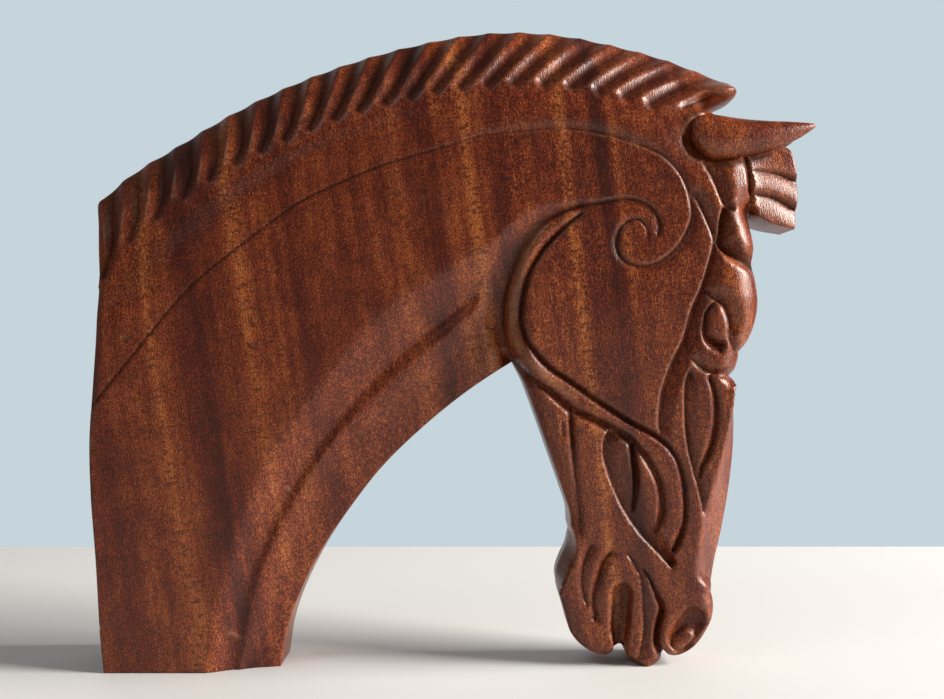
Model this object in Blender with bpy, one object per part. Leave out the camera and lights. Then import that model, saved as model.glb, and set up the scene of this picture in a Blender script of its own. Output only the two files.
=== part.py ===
"""Horse head and arched neck carved from one plank of mahogany.

It stands on the sawn end of the neck and on its lips. Both sides carry the same relief.
The pattern is drawn in millimetres for a head 300 mm high, x along the head and z upwards,
and each cut into the face of the plank is given as a line, a width on either side and a depth.
"""
import bpy
import numpy as np
from mathutils import Vector
from mathutils.geometry import delaunay_2d_cdt

# Sizes of the real piece, in metres
HEIGHT = 0.300
PLANK = 0.060
CREST_THICKNESS = 0.018
THROAT_THICKNESS = 0.034
MUZZLE_THICKNESS = 0.038
FORELOCK_THICKNESS = 0.034
NOSE_THICKNESS = 0.011
CHIN_THICKNESS = 0.012
EAR_THICKNESS = 0.017

# Depths of the cuts, in metres
ARC_DEPTH = 0.0013
STRAP_DEPTH = 0.0042
HOLLOW_DEPTH = 0.0050
FACE_DEPTH = 0.0040
GROOVE_DEPTH = 0.0030
FLUTE_DEPTH = 0.0021
LOCK_DEPTH = 0.0036
FOOT_DEPTH = 0.0038
PARTING_DEPTH = 0.0034
POCKET_DEPTH = 0.009

# Rounding at the outline, in metres, and the small steps of the board and the ears
BACK_ROUND = 0.0035
JAW_ROUND = 0.012
POLL_ROUND = 0.016
HEAD_DROP = 0.001
EAR_INSET = 0.0002
EAR_TILT = 0.0016

# Number of cuts that part the locks of the mane, and half the width of a lock in pattern millimetres
VALLEYS = 22
HALF_LOCK = 7.2

# Spacing of the facets, in metres, where the face is carved and on the flat of the neck
FINE_FACET = 0.0048
WIDE_FACET = 0.018

# The pattern: its millimetres in the real head, the steps along its drawn lines, how far the lock
# cuts run out past the crest, the width of the step above the nostril, the blend where cuts cross,
# and the least that is left of half the thickness
SHARE = HEIGHT / 300.0
LINE_STEP = 2.0
CREST_STEP = 0.5
OVERRUN = 1.5
NOSTRIL_STEP = 2.5
DETAIL_BLEND = 3.0
THINNEST = 0.0012


def spline(points, spacing, closed=False):
    """A smooth curve through the points, sampled evenly, with its place between the points."""
    pts = np.array(points, dtype=float)
    if closed:
        pts = np.vstack([pts[-1], pts, pts[0], pts[1]])
    else:
        pts = np.vstack([2 * pts[0] - pts[1], pts, 2 * pts[-1] - pts[-2]])
    knots = np.concatenate([[0.0], np.cumsum(np.linalg.norm(np.diff(pts, axis=0), axis=1) ** 0.5)])
    curve = []
    place = []
    for i in range(1, len(pts) - 2):
        span = np.linalg.norm(pts[i + 1] - pts[i])
        steps = max(2, int(np.ceil(span / (spacing * 0.25))))
        p0, p1, p2, p3 = pts[i - 1:i + 3]
        k0, k1, k2, k3 = knots[i - 1:i + 3]
        for j in range(steps):
            k = k1 + (k2 - k1) * j / steps
            a1 = p0 * (k1 - k) / (k1 - k0) + p1 * (k - k0) / (k1 - k0)
            a2 = p1 * (k2 - k) / (k2 - k1) + p2 * (k - k1) / (k2 - k1)
            a3 = p2 * (k3 - k) / (k3 - k2) + p3 * (k - k2) / (k3 - k2)
            b1 = a1 * (k2 - k) / (k2 - k0) + a2 * (k - k0) / (k2 - k0)
            b2 = a2 * (k3 - k) / (k3 - k1) + a3 * (k - k1) / (k3 - k1)
            curve.append(b1 * (k2 - k) / (k2 - k1) + b2 * (k - k1) / (k2 - k1))
            place.append(i - 1 + j / steps)
    curve.append(pts[-2])
    place.append(len(pts) - 3)
    curve = np.array(curve)
    place = np.array(place)
    run = np.concatenate([[0.0], np.cumsum(np.linalg.norm(np.diff(curve, axis=0), axis=1))])
    count = max(2, int(round(run[-1] / spacing)) + 1)
    even = np.linspace(0.0, run[-1], count)
    line = np.stack([np.interp(even, run, curve[:, k]) for k in range(2)], axis=1)
    return line, np.interp(even, run, place)


def nearest(line, x, z):
    """Distance to a line, the side (positive to the left of its run) and the place along it."""
    px = np.asarray(x, dtype=float).ravel()
    pz = np.asarray(z, dtype=float).ravel()
    best = np.full(px.shape, 1e9)
    side = np.ones(px.shape)
    place = np.zeros(px.shape)
    for i in range(len(line) - 1):
        ax, az = line[i]
        bx, bz = line[i + 1]
        dx, dz = bx - ax, bz - az
        length = max(dx * dx + dz * dz, 1e-12)
        t = np.clip(((px - ax) * dx + (pz - az) * dz) / length, 0.0, 1.0)
        ex = px - ax - t * dx
        ez = pz - az - t * dz
        dist = ex * ex + ez * ez
        closer = dist < best - 1e-9
        best = np.where(closer, dist, best)
        side = np.where(closer, np.where(dx * ez - dz * ex >= 0.0, 1.0, -1.0), side)
        place = np.where(closer, i + t, place)
    return np.sqrt(best), side, place


def smoothstep(value, low, high):
    t = np.clip((value - low) / (high - low), 0.0, 1.0)
    return t * t * (3.0 - 2.0 * t)


PROFILES = {
    "round": lambda u: (1.0 - u) ** 2,
    "cove": lambda u: 1.0 - u * u,
    "vee": lambda u: 1.0 - u,
    "soft": lambda u: (1.0 - u * u) ** 2,
    "bull": lambda u: 1.0 - np.sqrt(np.clip(1.0 - (1.0 - u) ** 2, 0.0, 1.0)),
    "pocket": lambda u: 1.0 - u ** 6,
    "dish": lambda u: 1.0 - u ** 4,
    "apron": lambda u: (1.0 - 0.6 * u) * (1.0 - u ** 12),
}


def cut(points, left, right, depth, profile="round", ends=(6.0, 6.0)):
    """A cut along a line. Left and right are widths in pattern millimetres, depth is in metres."""
    count = len(points)
    pair = (profile, profile) if isinstance(profile, str) else profile
    return {
        "points": points,
        "line": spline(points, LINE_STEP),
        "left": np.broadcast_to(np.array(left, dtype=float), (count,)),
        "right": np.broadcast_to(np.array(right, dtype=float), (count,)),
        "depth": np.broadcast_to(np.array(depth, dtype=float), (count,)),
        "profile": pair,
        "ends": ends,
    }


def carve(one, x, z):
    """Depth that one cut takes off at each point, in metres."""
    line, knots = one["line"]
    reach = max(one["left"].max(), one["right"].max())
    low = line.min(axis=0) - reach
    high = line.max(axis=0) + reach
    inside = (x > low[0]) & (x < high[0]) & (z > low[1]) & (z < high[1])
    taken = np.zeros(x.shape)
    if not inside.any():
        return taken
    dist, side, place = nearest(line, x[inside], z[inside])
    knot = np.interp(place, np.arange(len(line)), knots)
    steps = np.arange(len(one["points"]))
    left = np.interp(knot, steps, one["left"])
    right = np.interp(knot, steps, one["right"])
    depth = np.interp(knot, steps, one["depth"])
    spacing = np.linalg.norm(line[1] - line[0])
    run = place * spacing
    total = (len(line) - 1) * spacing
    start, stop = one["ends"]
    if start > 0.0:
        depth = depth * smoothstep(run, 0.0, start)
    if stop > 0.0:
        depth = depth * smoothstep(total - run, 0.0, stop)
    u_left = np.clip(dist / np.maximum(left, 1e-6), 0.0, 1.0)
    u_right = np.clip(dist / np.maximum(right, 1e-6), 0.0, 1.0)
    left_cut = PROFILES[one["profile"][0]](u_left)
    right_cut = PROFILES[one["profile"][1]](u_right)
    taken[inside] = depth * np.where(side > 0.0, left_cut, right_cut)
    return taken


# Outline of the head, in runs between its corners, from the back of the base clockwise
BACK = [(-162.7, 0), (-164.3, 15), (-166.5, 52), (-169, 82), (-170, 107), (-168.9, 129), (-167, 160),
        (-166.8, 190), (-168.7, 207), (-172, 218)]
CREST = [(-172, 218), (-155.5, 232), (-132, 246.5), (-109.5, 260), (-81, 274), (-52, 285),
         (-23.5, 293), (5, 298.5), (28, 300), (50, 298.5), (73.5, 294), (96, 288), (115, 281), (131, 274)]
MANE_TIP = [(131, 274), (132, 271.5), (129, 268.5), (122, 265), (117, 262)]
POLL = [(117, 262), (125, 257.5), (138, 252.5), (150, 248), (156.5, 244)]
FORELOCK_END = [(156.5, 244), (159, 235.5), (160, 225.5), (159.5, 214.5), (158.5, 205.5)]
FORELOCK_UNDER = [(158.5, 205.5), (147, 208), (137, 212.5)]
FOREHEAD = [(137, 212.5), (138, 205), (139.5, 196.5), (138.5, 190)]
BROW = [(138.5, 190), (140.5, 180), (141.5, 170.5), (140, 161), (136.5, 152.5), (132.5, 147.5)]
LID = [(132.5, 147.5), (131.5, 143), (130, 139), (128, 136.5)]
NOSE = [(128, 136.5), (131, 125), (131.8, 110.5), (130, 87.5), (126.2, 64.5), (122.2, 47.5), (119.8, 38)]
NOSTRIL = [(119.8, 38), (120.7, 29.5), (119.8, 22), (116.4, 15), (111.4, 8.6), (104.8, 4.8),
           (100, 4.6), (97, 7)]
UPPER_LIP = [(97, 7), (95.5, 3), (92.5, 0)]
LIP_REST = [(92.5, 0), (86, 0)]
LIP_BACK = [(86, 0), (82.5, 2.3), (79.8, 4.8), (78.6, 8)]
MOUTH = [(78.6, 8), (76.4, 9.5), (74, 8)]
LOWER_LIP = [(74, 8), (71.3, 5.3), (66, 5.2), (58.6, 9.2), (53.2, 15.5), (50.8, 23.5), (48.5, 31)]
CHIN = [(48.5, 31), (47, 37.5), (46.5, 43), (48.5, 49.5), (51.5, 56), (53, 63)]
JAW = [(53, 63), (52.5, 72), (49, 83), (43, 100), (37, 117), (30.5, 134), (25.5, 143.5)]
THROAT = [(25.5, 143), (18.8, 139), (2, 127.5), (-18, 111), (-35.4, 94), (-48.9, 77),
          (-60.4, 60.6), (-69, 45.7), (-76.5, 29.3), (-80.6, 16.3), (-83.2, 0)]
UNDERSIDE = [(-83.2, 0), (-162.7, 0)]
OUTLINE = [BACK, CREST, MANE_TIP, POLL, FORELOCK_END, FORELOCK_UNDER, FOREHEAD, BROW, LID, NOSE, NOSTRIL,
           UPPER_LIP, LIP_REST, LIP_BACK, MOUTH, LOWER_LIP, CHIN, JAW, THROAT, UNDERSIDE]

# Foot of the mane, and the edge where the flat of the neck turns down to the throat
MANE_FOOT = [(-172, 170), (-163.5, 181), (-157, 188.5), (-151.5, 197.5), (-142, 205.5), (-123.5, 219),
             (-103, 232), (-82, 242.5), (-63.5, 251), (-29, 262), (-3.5, 267), (22, 269.3),
             (42.5, 268.5), (61, 266.5), (79, 262.5), (87, 260), (98.5, 256), (108, 256), (116, 260),
             (134, 266.5)]
FLUTE_EDGE = [(-116, -3), (-113, 20), (-109, 38.5), (-103.5, 59), (-98.5, 73), (-90, 94), (-79.5, 109),
              (-70, 122), (-58.5, 136), (-49.5, 149), (-36.5, 163.5), (-24, 174), (-8, 183.5), (9.5, 195),
              (22, 201), (40, 211)]
BRIDGE_EDGE = [(129, 132), (127.5, 121.5), (125, 108.5), (121.7, 95.3), (118.4, 83.7), (114.6, 71),
               (113.4, 61.5), (112, 52.5), (110, 43)]
NOSTRIL_TOP = [(109.5, 46.5), (113, 42.3), (116, 38.2), (118.3, 35.8), (121, 33.5)]
CHIN_EDGE = [(53.3, 66), (55.6, 60.3), (55.2, 51), (52, 44.5), (49.5, 38.5), (48, 34)]

HALF = PLANK / 2


def line_of(points):
    return spline(points, LINE_STEP)[0]


MANE_FOOT_LINE = line_of(MANE_FOOT)
CREST_LINE = line_of(CREST + MANE_TIP[1:])
FLUTE_EDGE_LINE = line_of(FLUTE_EDGE)
THROAT_LINE = line_of(THROAT)
BRIDGE_LINE = line_of(BRIDGE_EDGE)
NOSE_LINE = line_of(NOSE)
NOSTRIL_TOP_LINE = line_of(NOSTRIL_TOP)
CHIN_EDGE_LINE = line_of(CHIN_EDGE)
CHIN_LINE = line_of(CHIN)


def across(first, second, x, z, outward, run_out=None):
    """0 on and behind the first line, rising to 1 on the second; run_out fades it at the two ends."""
    near, side, place = nearest(first, x, z)
    far = nearest(second, x, z)[0]
    share = np.where(side == outward, near / np.maximum(near + far, 1e-6), 0.0)
    if run_out:
        share = share * smoothstep(place * LINE_STEP, 0.0, run_out[0])
        share = share * smoothstep((len(first) - 1 - place) * LINE_STEP, 0.0, run_out[1])
    return share.reshape(x.shape)


def blank(x, z):
    """Half thickness of the plank once it is planed to shape, before the cuts."""
    muzzle_drop = HALF - MUZZLE_THICKNESS / 2
    head = smoothstep(x, 20.0, 46.0)
    down = np.clip((172.0 - z) / 150.0, 0.0, 1.0)
    body = HALF - muzzle_drop * head * down ** 1.3
    body = body - HEAD_DROP * smoothstep(x, 10.0, 60.0)
    mane = across(MANE_FOOT_LINE, CREST_LINE, x, z, 1.0)
    body = body - (HALF - CREST_THICKNESS / 2) * (0.35 * mane + 0.65 * mane ** 2.2)
    neck = 1.0 - smoothstep(x, 18.0, 34.0)
    throat = across(FLUTE_EDGE_LINE, THROAT_LINE, x, z, -1.0)
    body = body - neck * (HALF - THROAT_THICKNESS / 2) * throat
    away, side, _ = nearest(NOSTRIL_TOP_LINE, x, z)
    above_nostril = smoothstep(away * side, 0.0, NOSTRIL_STEP).reshape(x.shape)
    bridge = above_nostril * across(BRIDGE_LINE, NOSE_LINE, x, z, 1.0, (3.0, 0.5))
    body = body - np.maximum(body - NOSE_THICKNESS / 2, 0.0) * bridge
    chin = across(CHIN_EDGE_LINE, CHIN_LINE, x, z, -1.0, (3.0, 2.0))
    return body - np.maximum(body - CHIN_THICKNESS / 2, 0.0) * chin


def lock_lines():
    """Valleys between the locks of the mane, from the crest down to its foot."""
    crest = spline(CREST, CREST_STEP)[0]
    foot = spline(MANE_FOOT, CREST_STEP)[0]
    valleys = []
    for i in range(VALLEYS):
        share = (i + 1) / (VALLEYS + 0.4) - 0.012
        top = crest[int(round((len(crest) - 1) * share))]
        lean = np.radians(1.0 + 86.0 * max(0.0, share - 0.24))
        down = np.array([-np.sin(lean), -np.cos(lean)])
        aside = np.array([np.cos(lean), -np.sin(lean)])
        rays = foot - top
        end = foot[int(np.argmin(np.where(rays @ down > 4.0, np.abs(rays @ aside), 1e9)))]
        middle = top + 0.6 * (end - top) + (4.6 - 6.2 * share) * aside
        start = top + OVERRUN * (top - middle) / np.linalg.norm(top - middle)
        valleys.append([tuple(start), tuple(middle), tuple(end)])
    return valleys


def rounding(points, width, depth, profile="round"):
    """A cut along the outline itself, which fades out at a width inside it."""
    return cut(points, width, width, depth, profile, (0.0, 0.0))


def edge_cuts():
    """Rounding of the outline: how far in it starts, and how much it takes off at the rim."""
    forelock = HALF - FORELOCK_THICKNESS / 2
    face = HALF - NOSE_THICKNESS / 2
    lip = MUZZLE_THICKNESS * 0.11
    return [
        rounding(BACK, [0.1, 0.1, 0.1, 0.5, 1.5, 3, 3.5, 3.5, 3, 2],
                 [BACK_ROUND * k for k in (0, 0, 0, 0.3, 0.7, 1, 1, 1, 1, 0.7)], "vee"),
        rounding(MANE_TIP, 3.0, LOCK_DEPTH * 0.55),
        rounding(POLL, [8, 14, 24, 22, 16], [POLL_ROUND * k for k in (0.75, 0.9, 1, 1, 1)]),
        rounding(FORELOCK_END, 26.0, forelock, "apron"),
        rounding(FOREHEAD + BROW[1:], [15, 14, 14, 13, 15, 16, 16, 14, 12], face * 0.72, "bull"),
        rounding(LID, [12, 11, 9, 8], face * 0.62, "bull"),
        rounding(NOSTRIL, [7, 7, 6, 6, 6, 6, 5, 4], lip),
        rounding(UPPER_LIP, 5.0, lip),
        rounding(LIP_BACK, 4.0, lip),
        rounding(LOWER_LIP, [2, 5, 6, 6, 6, 6, 4], [lip * k for k in (0.8, 1, 1, 1, 1, 1, 0.8)]),
        rounding(JAW, [3, 7, 8, 8, 9, 9, 9], [JAW_ROUND * k for k in (0.25, 0.4, 0.5, 0.6, 0.65, 0.85, 1)]),
    ]


# Lines of the relief. Each runs down or clockwise, so the side that is cut away is easy to name.
GREAT_ARC = [(-171, 119), (-153, 141.5), (-123, 177.5), (-107, 191), (-90, 204), (-72.5, 216.5),
             (-54, 225.5), (-35.5, 233), (-8, 241.5), (10.5, 246.8), (29, 249.2), (47, 250.8),
             (65.5, 248.6), (81.5, 244),
             (95.4, 237.6), (103.7, 228), (107.9, 213.2), (106.9, 206.3), (100, 194.8), (90.8, 188.4),
             (82, 187.7), (75.2, 192.5), (73.8, 199), (76.5, 206), (82.6, 209), (87.5, 204.5), (87.3, 198)]
RIBBON_EDGE = [(41, 208.5), (50, 213.2), (58, 215.5), (68, 216.9), (77, 218.3), (84, 217.3), (89, 214.5),
               (92.5, 210), (93.5, 204.5), (91.5, 200)]
FLUTE_FLOOR = [(-106.5, -3), (-104, 15.3), (-102, 33.7), (-98, 52), (-90, 70.6), (-79.5, 89), (-66, 105),
               (-52.5, 123), (-38, 138.5), (-20, 152.5), (-9.5, 167), (-1, 180), (9, 190), (20, 198)]
LOWER_FLUTE = [(-97, -3), (-90.4, 14.7), (-84, 33), (-76.5, 51.7), (-69, 70), (-60, 88.7), (-43, 107),
               (-21, 125.7), (-8, 139), (4.8, 153.5), (12, 164)]
LAST_LOCK = [(124, 269), (118.5, 267), (112, 264.5), (107, 262), (102.5, 260)]
STRAP_INNER = [(59, 213), (49.5, 205.5), (39.5, 195), (33, 183.5), (30, 171), (29.3, 162.5), (31.5, 154.5),
               (36.5, 147), (42.8, 140.5), (52.5, 134), (65.4, 124.8), (79, 116), (93.7, 107.7), (98.6, 103),
               (102.3, 97.3), (105, 88), (106, 79), (106.2, 72), (105.4, 66.5), (103, 59), (99.8, 53)]
STRAP_OUTER = [(61.5, 215.5), (50, 212.5), (40.3, 207.5), (33.4, 199.5), (26.5, 186.5), (22.5, 175),
               (21.4, 163), (22.6, 153), (25.5, 145.5), (33.4, 137), (42.8, 130.4), (53.4, 122),
               (63.6, 117.4), (76.5, 110.5), (82.6, 105.8), (89.3, 97.8), (94.9, 86.2), (96.3, 76),
               (95.3, 69.5), (91.6, 61)]
CHEEK_FRONT = [(106, 225), (110.4, 218), (114.6, 209.5), (118.3, 199.5), (117.8, 195), (113.2, 179),
               (108, 166.5), (104.4, 153.5), (99, 142), (94.5, 128), (93.5, 114), (94, 107.5)]
POLL_LINE = [(113.5, 235), (116.8, 230.3), (119.6, 224.2), (122.3, 217.3), (124.3, 214.5), (129, 213.5)]
LOBE_EDGE = [(123, 215), (121.4, 209), (120.9, 202), (120.5, 197.3), (123, 194.5), (128.7, 191), (138, 186.5)]
BROW_INNER = [(112.5, 178), (117.7, 172.5), (122.7, 169.7), (125, 165), (126, 160.5), (125.7, 154.5),
              (129.7, 147.5)]
EYE_LEFT = [(119, 171), (115.3, 166.5), (114.3, 160.5), (114.8, 155.8), (118.5, 152.6), (124.5, 150.5)]
LID_OUTER = [(104.8, 151), (107, 146.5), (112, 141.3), (119, 138), (127, 137)]
LEAF_LEFT = [(108.5, 141), (106, 135), (105.6, 121), (106.5, 108), (109, 96), (112.5, 84), (114.3, 76),
             (114.8, 69)]
LEAF_RIGHT = [(116.3, 138.5), (119.5, 129), (120.4, 119), (119.3, 108.5), (116.5, 99.5), (113.4, 93),
              (112.3, 87)]
JAW_PANEL = [(73, 112.5), (69, 108.5), (68, 102), (69.3, 94.6), (73, 84.4), (78, 74), (85, 63.7), (94.2, 54),
             (101, 46.5)]
RECESS_RIB = [(81.4, 107), (82, 98), (82.9, 90), (82.6, 80), (81.5, 71)]
JAW_GROOVE = [(52.3, 123), (53.2, 110), (53.8, 101), (56, 82), (57, 74), (57, 60)]
JAW_TICK = [(48.6, 116.5), (49, 108)]
CHIN_GROOVE = [(65.2, 60), (62, 56), (59, 48), (58.6, 39), (60.5, 29.6), (61.4, 26)]
LIP_GROOVE = [(74.5, 56.2), (69, 50.6), (66.6, 43.6), (64.7, 36.6), (63.8, 29.6), (65, 24), (63, 20.5)]
LIP_RIDGE = [(76, 57), (81.5, 50.6), (85.3, 43.6), (86.7, 36.6), (87.3, 27), (87.6, 18), (86.7, 11),
             (84.8, 2)]
CHEEK_GROOVE = [(85.3, 48.3), (90, 41.3), (93.2, 34.2), (96.1, 27.2), (95, 22.5), (93.6, 16.5),
                (93.4, 10.5), (96, 5.5)]
MOUTH_LINE = [(77.3, 34.5), (77, 27), (76.4, 18), (76.4, 10), (76.4, 5)]
NOSTRIL_HOLLOW = [(110.6, 22), (108, 18), (104.8, 13)]
NOSTRIL_BEAD = [(109, 15.5), (106.8, 13)]
FORELOCK_ROOT = [(131.5, 247), (134.5, 239), (136, 230), (136.6, 221), (137.5, 211.5)]
FORELOCK_PARTINGS = [[(137, 232.5), (149, 231.5), (160, 228)],
                     [(137, 221.5), (149, 219.5), (160, 214)]]
EAR_POCKET = [(115, 247), (119, 246.5), (125, 246.5), (132, 247), (141, 248.5)]


def relief_cuts():
    """Every line carved into the face of the plank."""
    cuts = [
        cut(GREAT_ARC, [1.2] * 8 + [2, 4, 6, 7, 8, 8, 8, 7, 6, 5, 5, 5, 4.5, 4.5, 4, 3, 2.5, 2, 2], 1.0,
            [ARC_DEPTH * k for k in [0.45] * 8 + [0.5, 0.6, 0.8, 1, 1.2, 1.3, 1.3, 1.2, 1.2, 1.2, 1.2, 1.2,
                                                  1.3, 1.4, 1.4, 1.2, 1, 0.8, 0.6]], "round", (2, 3)),
        cut(RIBBON_EDGE, 1.3, [4, 5, 6, 7, 8, 8, 7, 6, 5, 3],
            [ARC_DEPTH * k for k in (1.8, 2, 1.8, 1.5, 1.2, 1.1, 1.1, 1.1, 1.1, 0.8)], "round", (4, 3)),
        cut(FLUTE_FLOOR, [8, 8, 8, 8, 10, 13, 15, 15, 16, 17, 17, 15, 12, 8],
            [6, 6, 6, 7, 8, 9, 9, 9, 10, 10, 10, 9, 8, 6],
            [FLUTE_DEPTH * k for k in (0.8, 0.8, 0.8, 0.9, 1, 1, 1, 1, 1.1, 1.2, 1.3, 1.3, 1.2, 1)],
            "soft", (0, 6)),
        cut(LOWER_FLUTE, [7, 7, 8, 9, 9, 9, 9, 9, 9, 8, 7], [16, 17, 20, 22, 25, 25, 25, 24, 20, 15, 10],
            FLUTE_DEPTH * 0.8, "soft", (0, 10)),
        cut(MANE_FOOT[1:-2], 5.0, [20, 24, 24, 22, 20, 16, 13, 12, 11, 10, 10, 10, 10, 10, 10, 10, 6],
            [FOOT_DEPTH * k for k in [0.8, 0.95, 1, 0.95, 0.8, 0.65, 0.5] + [0.42] * 10], "soft", (0, 5)),
        cut(LAST_LOCK, 3.0, 5.0, LOCK_DEPTH * 0.6, "round", (10, 3)),
        cut(STRAP_INNER, 2.0, [2.5, 3, 3] + [3.2] * 9 + [3.5, 4, 4, 4, 4, 4, 4, 4, 3],
            [STRAP_DEPTH * k for k in [0.4, 0.8] + [1] * 11]
            + [GROOVE_DEPTH * k for k in [1] * 6 + [1.7] * 2], "round", (3, 2)),
        cut(STRAP_OUTER, [2, 2.5, 3, 3, 3, 3, 3, 3, 3, 3, 3, 3, 3, 3, 3, 3, 3, 3, 3, 2.5],
            [6, 10, 14, 17, 18, 17, 14, 9, 5, 4, 4, 4.5, 5, 5, 4.5, 4, 4, 4, 4, 3],
            [HOLLOW_DEPTH * k for k in [0.4, 0.8] + [1] * 5 + [0.9]]
            + [GROOVE_DEPTH * k for k in [0.8] * 2 + [1.2] * 5 + [1] * 5], ("round", "soft"), (5, 3)),
        cut(CHEEK_FRONT, [5, 6, 6, 5, 5, 7, 9, 8, 8, 7, 6, 6], 1.2,
            [FACE_DEPTH * k for k in (0.4, 0.6, 0.8, 1, 1, 1, 1, 0.9, 0.8, 0.7, 0.6, 0.5)], ("vee", "round")),
        cut(POLL_LINE, [9, 9, 8.5, 8, 5, 3], 1.5, FACE_DEPTH * 0.9, ("vee", "round"), (0, 3)),
        cut(LOBE_EDGE, [3, 6, 9, 13, 12, 7, 3], [1.5, 1.5, 1.5, 1.8, 3, 5, 4],
            [FACE_DEPTH * k for k in (1, 1.3, 1.5, 1.7, 1.7, 1.4, 1)], ("vee", "round"), (1, 0)),
        cut(BROW_INNER, [3, 6, 7, 7.5, 7.5, 5, 3], [2, 3, 4, 4, 4, 3, 2],
            [FACE_DEPTH * k for k in (0.7, 1, 1.2, 1.3, 1.3, 1, 1)], ("vee", "bull"), (3, 0)),
        cut(EYE_LEFT, 4.5, [1.2, 1.2, 1.2, 1.5, 2.8, 3.5], FACE_DEPTH, ("bull", "round"), (2, 2)),
        cut(LID_OUTER, 4.5, 3.0, [FACE_DEPTH * k for k in (0.2, 0.3, 0.6, 1, 1)], "round", (3, 0)),
        cut(LEAF_LEFT, 7.0, 1.2, GROOVE_DEPTH * 0.9, "round", (4, 5)),
        cut(LEAF_RIGHT, 1.8, 4.0, GROOVE_DEPTH, "round", (3, 4)),
        cut(NOSTRIL_TOP[:-1], 2.5, 1.0, GROOVE_DEPTH * 0.4, "round", (2, 0)),
        cut(JAW_PANEL, [6, 8, 10, 12, 13, 12, 10, 7, 3], 1.2, GROOVE_DEPTH * 1.5, ("cove", "round"), (3, 2)),
        cut(RECESS_RIB, 3.0, 4.0, GROOVE_DEPTH * 1.7, "round", (2, 4)),
        cut(JAW_GROOVE, 3.0, 3.0, [GROOVE_DEPTH * k for k in (1.2, 1.2, 0.7, 0.6, 0.6, 0.4)],
            "round", (1, 6)),
        cut(JAW_TICK, 2.0, 2.0, GROOVE_DEPTH * 0.35, "round", (2, 2)),
        cut(CHIN_GROOVE, 4.5, 4.5, GROOVE_DEPTH * 0.7, "round", (5, 5)),
        cut(LIP_GROOVE, 4.0, 4.0, GROOVE_DEPTH * 0.9, "round", (4, 3)),
        cut(LIP_RIDGE, 5.0, 1.5, GROOVE_DEPTH * 0.6, "round", (8, 2)),
        cut(CHEEK_GROOVE, [2, 2, 2.5, 3, 3, 3, 3, 3], [2, 2, 2.5, 3, 3, 3, 3, 3],
            [GROOVE_DEPTH * k for k in (0.6, 0.8, 1, 2, 2, 1.8, 1.5, 1.2)], "round", (4, 0)),
        cut(MOUTH_LINE, [5, 5.1, 4.8, 3.4, 3], [5, 5.1, 4.8, 3.4, 3],
            [GROOVE_DEPTH * k for k in (1.6, 1.8, 2, 2.2, 2.2)], "pocket", (0, 0)),
        cut(NOSTRIL_HOLLOW, 6.8, 6.8, GROOVE_DEPTH * 1.5, "dish", (0, 0)),
        cut(FORELOCK_ROOT, 1.5, [7, 10, 11, 10, 8], [FACE_DEPTH * k for k in (0.4, 0.5, 0.6, 0.6, 0.6)],
            ("round", "bull"), (0, 0)),
        cut(EAR_POCKET, [11, 12, 12, 10, 7], [12, 14, 12.5, 10, 6],
            [POCKET_DEPTH * k for k in (1, 1, 1, 0.9, 0.65)], "dish", (0, 3)),
        cut(EAR_POCKET, 22.0, 24.0, POCKET_DEPTH / 3, "soft", (0, 0)),
    ]
    for valley in LOCK_VALLEYS:
        cuts.append(cut(valley, HALF_LOCK, HALF_LOCK, [LOCK_DEPTH * k for k in (0.6, 1, 0.7)],
                        "soft", (0, 3)))
    for parting in FORELOCK_PARTINGS:
        cuts.append(cut(parting, 3.0, 9.5, [PARTING_DEPTH * k for k in (0.5, 0.8, 1)],
                        "round", (1, 0)))
    return cuts


LOCK_VALLEYS = lock_lines()
EDGES = edge_cuts()
RELIEF = relief_cuts()
NOSTRIL_FLESH = cut(NOSTRIL_BEAD, 3.2, 3.2, GROOVE_DEPTH, "dish", (0, 0))


def half_thickness(x, z):
    """Half the thickness left at each point of the pattern, in metres."""
    x = np.asarray(x, dtype=float)
    z = np.asarray(z, dtype=float)
    rim = np.zeros(x.shape)
    for one in EDGES:
        rim = np.maximum(rim, carve(one, x, z))
    lines = np.zeros(x.shape)
    for one in RELIEF:
        lines = lines + carve(one, x, z) ** DETAIL_BLEND
    lines = lines ** (1.0 / DETAIL_BLEND)
    return np.maximum(blank(x, z) - rim - lines + carve(NOSTRIL_FLESH, x, z), THINNEST)


def outline_loop(spacing):
    """The whole outline as one closed run of points, corners kept."""
    runs = [spline(run, spacing)[0][:-1] for run in OUTLINE]
    return np.vstack(runs)


def inside_loop(loop, x, z):
    """True for points inside the closed loop."""
    inside = np.zeros(np.shape(x), dtype=bool)
    ends = np.roll(loop, -1, axis=0)
    for (ax, az), (bx, bz) in zip(loop, ends):
        if az == bz:
            continue
        crosses = (az > z) != (bz > z)
        inside ^= crosses & (x < (bx - ax) * (z - az) / (bz - az) + ax)
    return inside


def offset(line, distance):
    """The line moved to its left by a distance."""
    run = np.gradient(line, axis=0)
    run = run / np.maximum(np.linalg.norm(run, axis=1), 1e-9)[:, None]
    return line + distance * np.stack([-run[:, 1], run[:, 0]], axis=1)


def guide_lines(spacing):
    """Lines that the facets follow: the bottom and the rims of each cut."""
    guides = []
    for one in RELIEF:
        guides.append(spline(one["points"], spacing)[0])
    for first, second in zip(LOCK_VALLEYS, LOCK_VALLEYS[1:]):
        ridge = (np.array(first) + np.array(second)) / 2
        guides.append(spline(ridge, spacing)[0])
    for one in RELIEF:
        line = spline(one["points"], spacing)[0]
        for width, way in ((one["left"].mean(), 1.0), (one["right"].mean(), -1.0)):
            if 0.9 <= width < 0.9 * spacing:
                guides.append(offset(line, way * width))
    guides.append(spline(FLUTE_EDGE, 2.0 * spacing)[0])
    return guides


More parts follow.
